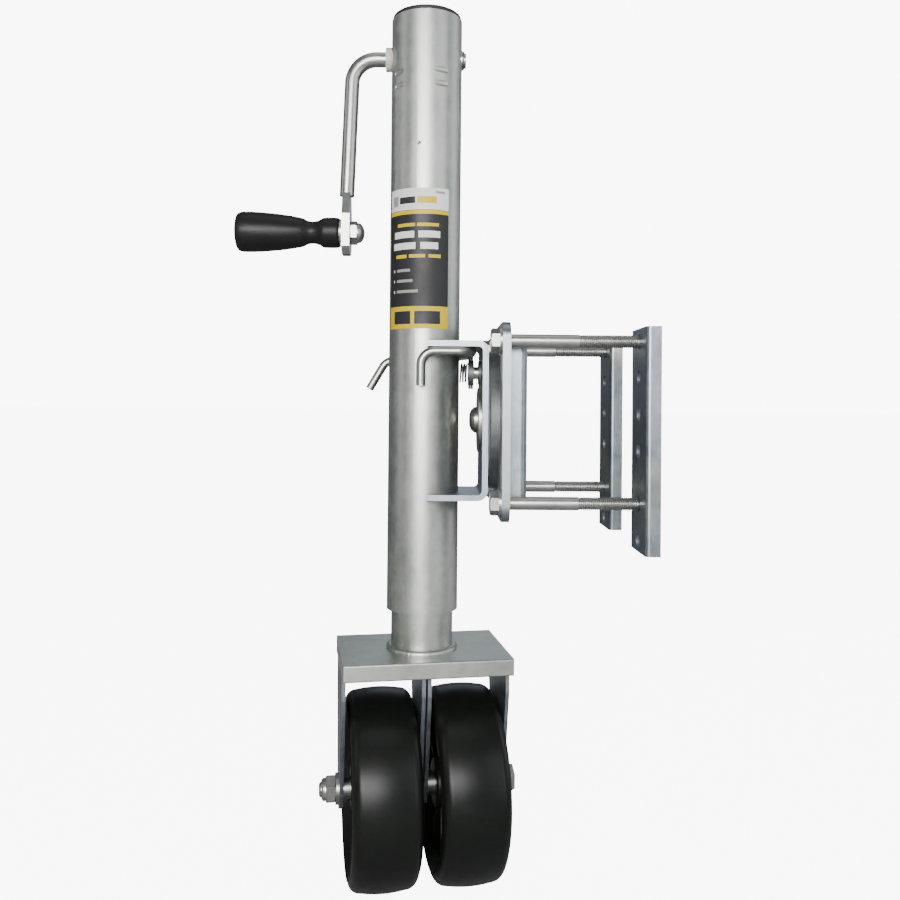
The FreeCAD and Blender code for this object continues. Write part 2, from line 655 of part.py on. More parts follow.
def bevel_gear(teeth, mate, half_gap_turn):
    """A straight bevel gear about +Z whose pitch cone opens downwards from the shaft crossing."""
    module, face = value("gear_module"), value("gear_face")
    own, other = module * teeth / 2, module * mate / 2
    distance = math.hypot(own, other)
    pitch_angle = math.atan2(own, other)
    along = FreeCAD.Vector(math.sin(pitch_angle), 0, -math.cos(pitch_angle))
    upward = FreeCAD.Vector(math.cos(pitch_angle), 0, math.sin(pitch_angle))
    side = FreeCAD.Vector(0, 1, 0)
    addendum, dedendum = 0.85 * module, 1.15 * module
    half_width = math.pi * module / 4 * 0.72
    lean = math.tan(math.radians(20))

    def section(scale):
        corners = []
        for height, sign in ((-dedendum - 0.5, -1), (addendum, -1), (addendum, 1), (-dedendum - 0.5, 1)):
            width = half_width - lean * height
            corners.append((along * distance + upward * height + side * (sign * width)) * scale)
        return Part.makePolygon(corners + corners[:1])

    inner = 1 - face / distance
    tooth = Part.makeLoft([section(1), section(inner)], True, True)
    root_out = along * distance - upward * dedendum
    root_in = root_out * inner
    back = root_out.z - value("gear_back")
    core = Part.makePolygon([
        FreeCAD.Vector(0, 0, root_in.z), FreeCAD.Vector(root_in.x, 0, root_in.z),
        FreeCAD.Vector(root_out.x, 0, root_out.z), FreeCAD.Vector(root_out.x, 0, back),
        FreeCAD.Vector(0, 0, back), FreeCAD.Vector(0, 0, root_in.z)])
    wheel = Part.Face(core).revolve(FreeCAD.Vector(), FreeCAD.Vector(0, 0, 1), 360)
    teeth_made = []
    for index in range(teeth):
        copy = tooth.copy()
        copy.rotate(FreeCAD.Vector(), FreeCAD.Vector(0, 0, 1), 360 / teeth * (index + half_gap_turn))
        teeth_made.append(copy)
    return wheel.multiFuse(teeth_made).removeSplitter(), back


def gears():
    """The pinion on the crank shaft and the larger gear on the lift screw."""
    gear_shape, gear_back = bevel_gear(round(value("gear_teeth")), round(value("pinion_teeth")), 0)
    bore = Part.makeCylinder(value("journal_radius"), 60, FreeCAD.Vector(0, 0, -40))
    gear = doc.addObject("Part::Feature", "driven_gear")
    gear.Shape = gear_shape.cut(bore)
    place(gear, TUBE_X, "0", CRANK_Z)
    keep(gear, "driven_gear")
    shape, back = bevel_gear(round(value("pinion_teeth")), round(value("gear_teeth")), 0.5)
    bore = Part.makeCylinder(value("crank_rod_radius"), 60, FreeCAD.Vector(0, 0, -40))
    shape = shape.cut(bore)
    shape.rotate(FreeCAD.Vector(), FreeCAD.Vector(0, 1, 0), 90)
    pinion = doc.addObject("Part::Feature", "crank_pinion")
    pinion.Shape = shape
    place(pinion, TUBE_X, "0", CRANK_Z)
    keep(pinion, "crank_pinion")
    return gear_back


def gear_seat():
    """The staked cup that carries the screw, with a ball thrust bearing under its floor."""
    floor = "(-seat_drop)"
    rim_top = "(-(stake_upper_drop + stake_lower_drop)/2 + 2.5)"
    outer = f"({TUBE_BORE} - running_clearance)"
    bore = "(journal_radius + running_clearance)"
    cup = [(bore, floor), (outer, floor), (outer, rim_top), ("seat_rim_radius", rim_top),
           ("seat_rim_radius", f"{floor} + seat_floor"), (bore, f"{floor} + seat_floor")]
    keep(turned("gear_seat", "z", cup, x=TUBE_X, z=CRANK_Z), "gear_seat")
    levels = {"thrust_race_upper": floor, "thrust_race_lower": f"({floor} - race_thickness - ball_radius*2)"}
    for label, top in levels.items():
        ring = [(bore, f"{top} - race_thickness"), ("race_radius", f"{top} - race_thickness"),
                ("race_radius", top), (bore, top)]
        keep(turned(label, "z", ring, x=TUBE_X, z=CRANK_Z), label)
    balls = []
    for index in range(round(value("ball_count"))):
        turn = f"({index}*360/ball_count)"
        ball = doc.addObject("Part::Sphere", "Ball")
        ball.setExpression("Radius", bind("ball_radius*0.995"))
        place(ball, f"{TUBE_X} + ball_circle*cos({turn})", f"ball_circle*sin({turn})",
              f"{CRANK_Z} + {floor} - race_thickness - ball_radius")
        balls.append(ball)
    keep(group(balls), "thrust_balls")


def lift_screw(gear_back):
    """The long screw: journal through the seat, a collar under the bearing, and the thread."""
    collar_top = "(-seat_drop - race_thickness*2 - ball_radius*2)"
    gear_top = "(-crank_rod_radius - 1.2)"
    outline = [
        ("0", gear_top), ("journal_radius", gear_top), ("journal_radius", collar_top),
        ("screw_collar_radius", collar_top), ("screw_collar_radius", f"{collar_top} - screw_collar_height"),
        ("screw_radius", f"{collar_top} - screw_collar_height"), ("screw_radius", "-screw_reach + 2"),
        ("screw_radius - 2", "-screw_reach"), ("0", "-screw_reach"),
    ]
    keep(turned("lift_screw", "z", outline, x=TUBE_X, z=CRANK_Z), "lift_screw")
    spacer_top = f"({gear_back})"
    spacer = [("journal_radius", "-seat_drop + seat_floor + 0.1"), ("journal_radius + 4",
              "-seat_drop + seat_floor + 0.1"), ("journal_radius + 4", spacer_top),
              ("journal_radius", spacer_top)]
    keep(turned("gear_spacer", "z", spacer, x=TUBE_X, z=CRANK_Z), "gear_spacer")


# ---------------------------------------------------------------- the leg and its wheels

def leg():
    """The inner tube, with rings that hold the lift nut inside its top."""
    bore = "(leg_radius - leg_wall)"
    wall = [(bore, CARRIAGE_TOP), ("leg_radius", CARRIAGE_TOP), ("leg_radius", LEG_TOP), (bore, LEG_TOP)]
    keep(turned("inner_tube", "z", wall, x=TUBE_X), "inner_tube")
    nut_top = f"({CRANK_Z} - lift_nut_drop)"
    nut = [("screw_radius + running_clearance", f"{nut_top} - lift_nut_height"),
           ("nut_radius", f"{nut_top} - lift_nut_height"), ("nut_radius", nut_top),
           ("screw_radius + running_clearance", nut_top)]
    keep(turned("lift_nut", "z", nut, x=TUBE_X), "lift_nut")
    for label, low in (("nut_ring_upper", f"({nut_top} + running_clearance)"),
                       ("nut_ring_lower", f"({nut_top} - lift_nut_height - running_clearance - retainer_height)")):
        ring = [("retainer_bore", low), (bore, low), (bore, f"{low} + retainer_height"),
                ("retainer_bore", f"{low} + retainer_height")]
        keep(turned(label, "z", ring, x=TUBE_X), label)
    weld = [("leg_radius", CARRIAGE_TOP), ("leg_radius + weld_size*1.2", CARRIAGE_TOP),
            ("leg_radius + weld_size*0.9", f"{CARRIAGE_TOP} + weld_size*0.55"),
            ("leg_radius + weld_size*0.3", f"{CARRIAGE_TOP} + weld_size*0.95"),
            ("leg_radius", f"{CARRIAGE_TOP} + weld_size")]
    keep(turned("leg_weld", "z", weld, x=TUBE_X), "leg_weld")


def carriage():
    """The thick plate on the leg's foot and the two folded yokes under it."""
    wide, deep = "carriage_width/2", "carriage_depth/2"
    plate = pressed("carriage_plate", "XY_Plane", [
        (f"-{wide}", f"-{deep}"), (wide, f"-{deep}"), (wide, deep), (f"-{wide}", deep)],
        "carriage_thickness", x=TUBE_X, z=f"{CARRIAGE_TOP} - carriage_thickness", angle="leg_yaw")
    rounded(plate, "1.2", lambda edge: runs_along(edge, (0, 0, 1)) or runs_along(edge, (1, 0, 0)))
    keep(plate, "carriage_plate")
    top = "(-carriage_thickness)"
    low = f"({AXLE_Z} - {CARRIAGE_TOP})"
    for name, side in (("left", -1), ("right", 1)):
        half = "(yoke_inside/2)"
        centre = f"({side}*{YOKE_CENTRE})"
        outline = [
            (f"{centre} - {half} - yoke_wall", top), (f"{centre} + {half} + yoke_wall", top),
            (f"{centre} + {half} + yoke_wall", f"{low} - yoke_tip_radius"),
            (f"{centre} + {half}", f"{low} - yoke_tip_radius"), (f"{centre} + {half}", f"{top} - yoke_wall"),
            (f"{centre} - {half}", f"{top} - yoke_wall"), (f"{centre} - {half}", f"{low} - yoke_tip_radius"),
            (f"{centre} - {half} - yoke_wall", f"{low} - yoke_tip_radius"),
        ]
        strap = pressed("yoke", "XZ_Plane", outline, "yoke_width", middle=True)
        side_shape = pressed("yoke_side", "YZ_Plane", [
            ("-yoke_width/2", "0"), ("yoke_width/2", "0"), ("yoke_width/2", f"{top} - 18"),
            ("yoke_tip_radius", low), ("yoke_tip_radius*0.7", f"{low} - yoke_tip_radius*0.7"),
            ("0", f"{low} - yoke_tip_radius"), ("-yoke_tip_radius*0.7", f"{low} - yoke_tip_radius*0.7"),
            ("-yoke_tip_radius", low), ("-yoke_width/2", f"{top} - 18")],
            "carriage_width + 20", [("0", low, "axle_radius + running_clearance")], middle=True)
        yoke = doc.addObject("Part::Common", "Yoke")
        yoke.Base = strap
        yoke.Tool = side_shape
        place(yoke, TUBE_X, "0", CARRIAGE_TOP, angle="leg_yaw")
        keep(yoke, f"yoke_{name}")


def axle():
    """One long axle bolt through both yokes, its nut, washers and the wheel spacers."""
    outside = f"({YOKE_CENTRE} + yoke_inside/2 + yoke_wall)"
    seat = f"({outside} + axle_washer_thickness)"
    head = hexagon("axle_nut_circumradius", "axle_nut_height*0.75", seat, "0", "0")
    end = f"(-{seat} - axle_nut_height - 2)"
    shank = turned("shank", "x", [(end, "0"), (seat, "0"), (seat, "axle_radius"),
                                  (f"{end} + 1.5", "axle_radius"), (end, "axle_radius - 1.5")])
    bolt = fused(head, shank)
    place(bolt, TUBE_X, "0", AXLE_Z, angle="leg_yaw")
    keep(bolt, "axle_bolt")
    prism = hexagon("axle_nut_circumradius", "axle_nut_height*0.7", f"-{seat} - axle_nut_height*0.7", "0", "0")
    collar = turned("collar", "x", [
        (f"-{seat} - axle_nut_height", "axle_radius"), (f"-{seat} - axle_nut_height*0.6", "axle_radius"),
        (f"-{seat} - axle_nut_height*0.6", "axle_nut_circumradius*0.8"),
        (f"-{seat} - axle_nut_height*0.9", "axle_nut_circumradius*0.8"),
        (f"-{seat} - axle_nut_height", "axle_nut_circumradius*0.68")])
    bore = rod("x", "axle_radius", "axle_nut_height*2 + 4", f"-{seat} - axle_nut_height*2", "0", "0")
    nut = cut(fused(prism, collar), bore)
    place(nut, TUBE_X, "0", AXLE_Z, angle="leg_yaw")
    keep(nut, "axle_nut")
    washers = []
    for low in (outside, f"(-{seat})"):
        washers.append(turned("washer", "x", [
            (low, "axle_radius"), (f"{low} + axle_washer_thickness", "axle_radius"),
            (f"{low} + axle_washer_thickness", "axle_washer_radius"), (low, "axle_washer_radius")]))
    washer_set = group(washers)
    place(washer_set, TUBE_X, "0", AXLE_Z, angle="leg_yaw")
    keep(washer_set, "axle_washers")
    spacers = []
    for side in (-1, 1):
        centre = f"({side}*{YOKE_CENTRE})"
        for low in (f"({centre} - yoke_inside/2)", f"({centre} + wheel_hub_length/2 + running_clearance)"):
            high = f"({low} + {WHEEL_GAP} - running_clearance)"
            spacers.append(turned("spacer", "x", [(low, "axle_radius"), (high, "axle_radius"),
                                                  (high, "spacer_radius"), (low, "spacer_radius")]))
    spacer_set = group(spacers)
    place(spacer_set, TUBE_X, "0", AXLE_Z, angle="leg_yaw")
    keep(spacer_set, "wheel_spacers")


def wheels():
    """Two moulded wheels with crowned treads, each on a steel sleeve."""
    half, hub, web = "wheel_width/2", "wheel_hub_length/2", "wheel_web_half"
    sleeve = "(axle_radius + running_clearance + sleeve_wall)"
    tread, corner = "wheel_radius", "wheel_shoulder"
    side = [
        (hub, sleeve), (hub, "wheel_hub_radius"), (web, "wheel_hub_radius + 1.5"),
        (web, "wheel_rim_radius - 2"), (f"{half} - 1.5", "wheel_rim_radius"),
        (half, "wheel_rim_radius + 1.5"), (half, f"{tread} - wheel_crown - {corner}"),
        (f"{half} - {corner}*0.076", f"{tread} - wheel_crown - {corner}*0.617"),
        (f"{half} - {corner}*0.293", f"{tread} - wheel_crown - {corner}*0.293"),
        (f"{half} - {corner}*0.617", f"{tread} - wheel_crown - {corner}*0.076"),
        (f"{half} - {corner}", f"{tread} - wheel_crown"), (f"({half} - {corner})*0.5", f"{tread} - wheel_crown*0.25"),
    ]
    outline = side + [("0", tread)] + [(f"-({a})", b) for a, b in reversed(side)]
    for name, where in (("left", -1), ("right", 1)):
        centre = f"({where}*{YOKE_CENTRE})"
        shifted = [(f"{centre} + {a}" if not a.startswith("-") else f"{centre} {a}", b) for a, b in outline]
        wheel = turned("wheel", "x", shifted, x=TUBE_X, z=AXLE_Z, angle="leg_yaw")
        keep(wheel, f"wheel_{name}")
        bore = "(axle_radius + running_clearance)"
        tube = turned("sleeve", "x", [
            (f"{centre} - {hub}", bore), (f"{centre} + {hub}", bore),
            (f"{centre} + {hub}", sleeve), (f"{centre} - {hub}", sleeve)],
            x=TUBE_X, z=AXLE_Z, angle="leg_yaw")
        keep(tube, f"wheel_sleeve_{name}")


# ---------------------------------------------------------------- the grip

def grip():
    """The hollow-ended grip that turns on its bolt, with its washer and domed nut."""
    left = f"({GRIP_RIGHT} - grip_length)"
    bore = "(grip_bolt_radius + running_clearance)"
    outline = [
        (f"{left} + grip_recess_depth", bore), (f"{left} + grip_recess_depth", "grip_recess_radius"),
        (left, "grip_recess_radius"), (left, "grip_end_radius*0.86"),
        (f"{left} + 1.2", "grip_end_radius*0.95"), (f"{left} + 3.6", "grip_end_radius"),
        (f"{left} + 12", "grip_end_radius*0.97"), (f"{left} + 30", "grip_waist_radius*1.19"),
        (f"{left} + 46", "grip_waist_radius"), (f"{left} + 54", "grip_neck_radius*1.06"),
        (f"{left} + 58.5", "grip_neck_radius"), (f"{left} + 62", "grip_neck_radius*1.12"),
        (f"{left} + 66", "grip_flare_radius*0.95"), (f"{left} + 69", "grip_flare_radius"),
        (f"{GRIP_RIGHT} - 1.5", "grip_flare_radius*0.97"), (GRIP_RIGHT, "grip_flare_radius*0.88"),
        (GRIP_RIGHT, bore),
    ]
    keep(turned("grip", "x", outline, z=GRIP_Z), "grip")
    arm_left, arm_right = f"({ARM_X} - crank_flat_thickness/2)", f"({ARM_X} + crank_flat_thickness/2)"
    head = f"({left} + grip_recess_depth)"
    bolt = turned("grip_bolt", "x", [
        (f"{head} - 5", "0"), (f"{head} - 5", "grip_recess_radius*0.55"),
        (f"{head} - 3", "grip_recess_radius*0.85"), (f"{head} - running_clearance", "grip_recess_radius*0.85"),
        (f"{head} - running_clearance", "grip_bolt_radius"), (f"{arm_right} + acorn_hex_height", "grip_bolt_radius"),
        (f"{arm_right} + acorn_hex_height", "0")], z=GRIP_Z)
    keep(bolt, "grip_bolt")
    washer = [(f"{arm_left} - grip_washer_thickness", "grip_bolt_radius"), (arm_left, "grip_bolt_radius"),
              (arm_left, "grip_washer_radius"), (f"{arm_left} - grip_washer_thickness", "grip_washer_radius")]
    keep(turned("grip_washer", "x", washer, z=GRIP_Z), "grip_washer")
    prism = hexagon("acorn_circumradius", "acorn_hex_height", arm_right, "0", GRIP_Z)
    base = f"({arm_right} + acorn_hex_height - 0.5)"
    dome = turned("dome", "x", [
        (base, "0"), (base, "acorn_circumradius*0.8"), (f"{base} + acorn_dome_height*0.45", "acorn_circumradius*0.72"),
        (f"{base} + acorn_dome_height*0.8", "acorn_circumradius*0.45"), (f"{base} + acorn_dome_height", "0")],
        z=GRIP_Z)
    bore_tool = rod("x", "grip_bolt_radius", "acorn_hex_height + 2", f"{arm_right} - 2", "0", GRIP_Z)
    keep(cut(fused(prism, dome), bore_tool), "acorn_nut")


def shaft_end():
    """The ring that keeps the crank shaft from sliding out, on the far side of the tube."""
    left = f"({TUBE_X} + tube_radius + bush_lip + running_clearance)"
    ring = [(left, "crank_rod_radius"), (f"{left} + 1.4", "crank_rod_radius"),
            (f"{left} + 1.4", "crank_rod_radius + 1.2"), (left, "crank_rod_radius + 1.2")]
    keep(turned("shaft_ring", "x", ring, z=CRANK_Z), "shaft_ring")


def check_and_write():
    """Stop on any failed feature or empty shape, then write every piece."""
    doc.recompute()
    for thing in doc.Objects:
        if "Invalid" in thing.State or "Error" in thing.State:
            raise SystemExit(f"{thing.Name} ({thing.Label}) failed: {thing.State}")
    os.makedirs("parts", exist_ok=True)
    for piece in pieces:
        if piece.Shape.isNull() or not piece.Shape.isValid() or piece.Shape.Volume <= 0:
            raise SystemExit(f"{piece.Label} has no valid shape")
        piece.Shape.exportStep(f"parts/{piece.Label}.step")
    print(len(pieces), "pieces written")


standoff_channel()
mount_plate()
index_disc()
pivot_pin()
clamp_bolts()
backing_channels()
outer_tube()
top_cap()
tube_bracket()
lock_guide()
label_plate()
lock_pin()
release_handle()
lock_spring()
crank_handle()
crank_bushes()
lift_screw(gears())
gear_seat()
shaft_end()
leg()
carriage()
axle()
wheels()
grip()
check_and_write()
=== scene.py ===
import json
import math
import bpy
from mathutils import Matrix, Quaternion, Vector


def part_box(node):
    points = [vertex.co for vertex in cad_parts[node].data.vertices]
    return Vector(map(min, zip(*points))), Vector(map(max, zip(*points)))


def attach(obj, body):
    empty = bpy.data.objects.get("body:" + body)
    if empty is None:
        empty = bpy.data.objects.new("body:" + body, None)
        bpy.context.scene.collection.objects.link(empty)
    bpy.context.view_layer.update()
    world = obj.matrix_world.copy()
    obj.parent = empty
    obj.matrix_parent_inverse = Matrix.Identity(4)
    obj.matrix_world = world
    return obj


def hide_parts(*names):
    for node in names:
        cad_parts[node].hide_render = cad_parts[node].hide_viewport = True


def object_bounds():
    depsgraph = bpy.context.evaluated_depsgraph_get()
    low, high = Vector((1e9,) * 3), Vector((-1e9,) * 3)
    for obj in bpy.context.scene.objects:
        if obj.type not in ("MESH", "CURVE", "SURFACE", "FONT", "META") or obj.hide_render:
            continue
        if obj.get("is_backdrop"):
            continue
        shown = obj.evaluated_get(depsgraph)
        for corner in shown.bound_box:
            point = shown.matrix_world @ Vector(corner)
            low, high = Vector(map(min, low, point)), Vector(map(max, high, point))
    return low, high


# %% [markdown]
# # A trailer tongue jack
# This file dresses a finished mechanical model. The model arrives as a fixed frame: every tube, plate,
# bolt and wheel already has its true size and place, in metres. Each later cell either gives one of those
# parts a better finish, or models a finer piece that stands in for a plain one.

# %% Load the frame
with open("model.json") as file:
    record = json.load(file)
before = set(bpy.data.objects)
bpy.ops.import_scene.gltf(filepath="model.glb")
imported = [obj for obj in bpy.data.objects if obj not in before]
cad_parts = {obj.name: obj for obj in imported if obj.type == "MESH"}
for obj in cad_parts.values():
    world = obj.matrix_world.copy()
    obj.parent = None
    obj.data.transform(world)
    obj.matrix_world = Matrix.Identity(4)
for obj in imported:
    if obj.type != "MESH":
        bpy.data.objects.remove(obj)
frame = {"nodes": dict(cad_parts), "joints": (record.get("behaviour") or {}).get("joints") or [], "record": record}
cad_low, cad_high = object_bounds()
print("frame box", [round(x, 4) for x in (*cad_low, *cad_high)])


# %% [markdown]
# ## Places that everything else is measured from
# The jack is built round one upright tube, so its centre line is the natural ruler. The wheels sit on an
# axle that is turned a little about that line, and the direction of the axle is read from its joint.

# %% Centre lines
tube_low, tube_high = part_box("outer_tube")
tube_centre = (tube_low + tube_high) / 2
tube_radius = (tube_high.x - tube_low.x) / 2
axle_joint = next(joint for joint in frame["joints"] if joint["name"] == "left_wheel_spin")
axle_centre = Vector(axle_joint["pos_m"])
axle_line = Vector(axle_joint["axis"]).normalized()
UP = Vector((0, 0, 1))
EAST = Vector((1, 0, 0))
print("tube radius", round(tube_radius, 5), "axle", [round(x, 4) for x in axle_line])


# %% [markdown]
# ## The camera
# A catalogue picture of a tall thing is taken from close by, at half its height, so that near edges look
# larger than far ones. A normal lens with a small upward shift keeps the tube's sides parallel. The camera
# could be tilted down to fit the wheels in, but then the tube would lean, so the shift is used.

# %% Camera
camera_data = bpy.data.cameras.new("camera")
camera_data.sensor_width = 36
camera_data.lens = 36
camera_data.shift_y = -0.0664
camera_data.clip_start = 0.02
camera = bpy.data.objects.new("camera", camera_data)
bpy.context.scene.collection.objects.link(camera)
camera_yaw, camera_pitch, camera_roll = math.radians(0.88), math.radians(0.72), math.radians(-0.51)
camera.location = tube_centre + Vector((0.0100, -0.7320, -0.0712))
sight = Vector((math.sin(camera_yaw) * math.cos(camera_pitch), math.cos(camera_yaw) * math.cos(camera_pitch),
                math.sin(camera_pitch)))
camera.rotation_mode = "QUATERNION"
camera.rotation_quaternion = Quaternion(sight, camera_roll) @ sight.to_track_quat("-Z", "Y")
bpy.context.scene.camera = camera
print("camera at", [round(x, 3) for x in camera.location])


# %% [markdown]
# ## The studio
# Metal has no colour of its own to show: it shows the room. A white room all round would make zinc look
# like paper, so the walls that the metal sees are a dark cool grey, and soft panels of light give it bright
# bands. A large panel beside the camera makes the bright stripe down the front of the tube. The floor and
# the sky are bright only to the camera, so the ground stays white and casts no light on the jack.
FLOOR_GLOW = 8.4
SKY_SEEN, SKY_FELT = 9.0, 0.17

# %% Floor
bpy.ops.object.select_all(action="DESELECT")
bpy.ops.mesh.primitive_plane_add(size=80, location=(0, 0, cad_low.z))
floor = bpy.context.object
floor.name = "floor"
paper = bpy.data.materials.new("pale_floor")
paper.use_nodes = True
paper.node_tree.nodes["Principled BSDF"].inputs["Base Color"].default_value = (0.35, 0.35, 0.35, 1)
paper.node_tree.nodes["Principled BSDF"].inputs["Roughness"].default_value = 0.9
glow = paper.node_tree.nodes.new("ShaderNodeEmission")
glow.inputs["Strength"].default_value = FLOOR_GLOW
plus = paper.node_tree.nodes.new("ShaderNodeAddShader")
by_eye = paper.node_tree.nodes.new("ShaderNodeMixShader")
eye = paper.node_tree.nodes.new("ShaderNodeLightPath")
paper_surface = paper.node_tree.nodes["Principled BSDF"].outputs[0]
paper.node_tree.links.new(paper_surface, plus.inputs[0])
paper.node_tree.links.new(glow.outputs[0], plus.inputs[1])
paper.node_tree.links.new(eye.outputs["Is Camera Ray"], by_eye.inputs[0])
paper.node_tree.links.new(paper_surface, by_eye.inputs[1])
paper.node_tree.links.new(plus.outputs[0], by_eye.inputs[2])
paper.node_tree.links.new(by_eye.outputs[0], paper.node_tree.nodes["Material Output"].inputs["Surface"])
floor.data.materials.append(paper)
floor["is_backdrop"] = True
print("floor at", round(cad_low.z, 4))

# %% World: white behind the jack, grey in its reflections
world = bpy.data.worlds.new("studio")
bpy.context.scene.world = world
world.use_nodes = True
sky = world.node_tree
sky.nodes.clear()
seen = sky.nodes.new("ShaderNodeBackground")
seen.inputs["Color"].default_value = (1, 1, 1, 1)
seen.inputs["Strength"].default_value = SKY_SEEN
felt = sky.nodes.new("ShaderNodeBackground")
felt.inputs["Color"].default_value = (0.84, 0.94, 1, 1)
felt.inputs["Strength"].default_value = SKY_FELT
ray = sky.nodes.new("ShaderNodeLightPath")
choose = sky.nodes.new("ShaderNodeMixShader")
out = sky.nodes.new("ShaderNodeOutputWorld")
sky.links.new(ray.outputs["Is Camera Ray"], choose.inputs[0])
sky.links.new(felt.outputs[0], choose.inputs[1])
sky.links.new(seen.outputs[0], choose.inputs[2])
sky.links.new(choose.outputs[0], out.inputs["Surface"])
print("world strengths", felt.inputs["Strength"].default_value, seen.inputs["Strength"].default_value)


# %% Soft light panels
def light_panel(name, place, width, height, power, colour=(1, 1, 1)):
    """A soft rectangular light that faces the middle of the jack."""
    data = bpy.data.lights.new(name, "AREA")
    data.shape = "RECTANGLE"
    data.size, data.size_y = width, height
    data.energy = power
    data.color = colour
    panel = bpy.data.objects.new(name, data)
    bpy.context.scene.collection.objects.link(panel)
    panel.location = tube_centre + Vector(place)
    panel.rotation_mode = "QUATERNION"
    panel.rotation_quaternion = (tube_centre - panel.location).to_track_quat("-Z", "Y")


light_panel("front_panel", (-0.24, -1.60, 0.32), 1.00, 0.6, 36)
light_panel("low_panel", (-0.10, -1.35, -0.20), 0.30, 0.20, 2.2)
light_panel("right_panel", (1.35, -1.10, 0.35), 0.9, 1.6, 9, (0.90, 0.96, 1))
light_panel("far_right_panel", (1.70, 0.40, 0.35), 0.7, 1.6, 6, (0.90, 0.96, 1))
light_panel("left_panel", (-1.70, -0.35, 0.45), 0.4, 1.5, 3)
light_panel("top_panel", (0.10, -0.20, 1.70), 1.2, 1.2, 4)
light_panel("back_panel", (0.30, 1.80, 0.70), 1.2, 1.2, 3, (0.80, 0.90, 1))


# %% [markdown]
# ## Finishes: shared effects
# Plated steel is never one even grey. The plating grows in faint clouds, the steel below has fine drawing
# marks, and handling leaves small scuffs. Both effects are node groups, built once and used by every metal
# and plastic with its own strength. They read Object coordinates, the same for each part of the jack.

# %% Helpers for node groups
def new_group(name, ins, outs):
    """An empty shader group with float inputs and outputs, and its two ends."""
    group = bpy.data.node_groups.new(name, "ShaderNodeTree")
    for socket_name, kind, start in ins:
        socket = group.interface.new_socket(socket_name, in_out="INPUT", socket_type=kind)
        if start is not None:
            socket.default_value = start
    for socket_name, kind in outs:
        group.interface.new_socket(socket_name, in_out="OUTPUT", socket_type=kind)
    return group, group.nodes.new("NodeGroupInput"), group.nodes.new("NodeGroupOutput")


def maths(tree, operation, a, b=None, clamp=False):
    """One Math node; a and b are sockets or numbers."""
    node = tree.nodes.new("ShaderNodeMath")
    node.operation = operation
    node.use_clamp = clamp
    for socket, given in zip(node.inputs, (a, b)):
        if isinstance(given, (int, float)):
            socket.default_value = given
        elif given is not None:
            tree.links.new(given, socket)
    return node.outputs[0]


def noise(tree, vector, scale, detail=3.0, rough=0.55):
    node = tree.nodes.new("ShaderNodeTexNoise")
    tree.links.new(vector, node.inputs["Vector"])
    if isinstance(scale, (int, float)):
        node.inputs["Scale"].default_value = scale
    else:
        tree.links.new(scale, node.inputs["Scale"])
    node.inputs["Detail"].default_value = detail
    node.inputs["Roughness"].default_value = rough
    return node.outputs["Fac"]


def stretched(tree, vector, scale):
    """The same coordinates, stretched by a different amount along each axis."""
    node = tree.nodes.new("ShaderNodeMapping")
    tree.links.new(vector, node.inputs["Vector"])
    node.inputs["Scale"].default_value = scale
    return node.outputs["Vector"]


def widened(tree, source, low, high):
    """Spread the values between low and high over 0 to 1."""
    node = tree.nodes.new("ShaderNodeMapRange")
    tree.links.new(source, node.inputs["Value"])
    node.inputs["From Min"].default_value = low
    node.inputs["From Max"].default_value = high
    return node.outputs["Result"]


print("node helpers ready")

# %% Effect 1: clouds in the plating
clouds, clouds_in, clouds_out = new_group(
    "plating_clouds", [("Place", "NodeSocketVector", None), ("Size", "NodeSocketFloat", 1.0)],
    [("Clouds", "NodeSocketFloat"), ("Grain", "NodeSocketFloat")])
cloud_place, cloud_size = clouds_in.outputs["Place"], clouds_in.outputs["Size"]
broad = noise(clouds, cloud_place, maths(clouds, "MULTIPLY", cloud_size, 26.0), 4)
mid = noise(clouds, cloud_place, maths(clouds, "MULTIPLY", cloud_size, 130.0), 3)
blend = maths(clouds, "ADD", maths(clouds, "MULTIPLY", broad, 0.62), maths(clouds, "MULTIPLY", mid, 0.38))
clouds.links.new(widened(clouds, blend, 0.36, 0.64), clouds_out.inputs["Clouds"])
grain = noise(clouds, cloud_place, 1900.0, 2, 0.7)
clouds.links.new(widened(clouds, grain, 0.3, 0.7), clouds_out.inputs["Grain"])
print("group", clouds.name, len(clouds.nodes), "nodes")

# %% Effect 2: drawing marks and scuffs
marks, marks_in, marks_out = new_group(
    "drawn_marks", [("Place", "NodeSocketVector", None)],
    [("Lines", "NodeSocketFloat"), ("Scuffs", "NodeSocketFloat")])
lines = noise(marks, stretched(marks, marks_in.outputs["Place"], (900, 900, 14)), 1.0, 3, 0.6)
marks.links.new(widened(marks, lines, 0.35, 0.65), marks_out.inputs["Lines"])
thin = noise(marks, stretched(marks, marks_in.outputs["Place"], (420, 380, 60)), 1.0, 5, 0.7)
patch = noise(marks, marks_in.outputs["Place"], 38.0, 2)
scuff = maths(marks, "MULTIPLY", widened(marks, thin, 0.60, 0.70), widened(marks, patch, 0.50, 0.62))
marks.links.new(scuff, marks_out.inputs["Scuffs"])
print("group", marks.name, len(marks.nodes), "nodes")


# %% [markdown]
# ## Finishes: the metals
# Five metals are near neighbours: the satin tube, the bluish pressed plates, the bright rod and bolts, the
# swivel face, whose dark colour is painted shade for the narrow gap between bracket and mount plate, and
# the oiled bronze nut. One function makes them all, and only its numbers change. The plate's colour drifts
# between two tints, as a plated surface does where the bath was warmer.

# %% A plated metal
def group_node(tree, group, place):
    node = tree.nodes.new("ShaderNodeGroup")
    node.node_tree = group
    tree.links.new(place, node.inputs["Place"])
    return node


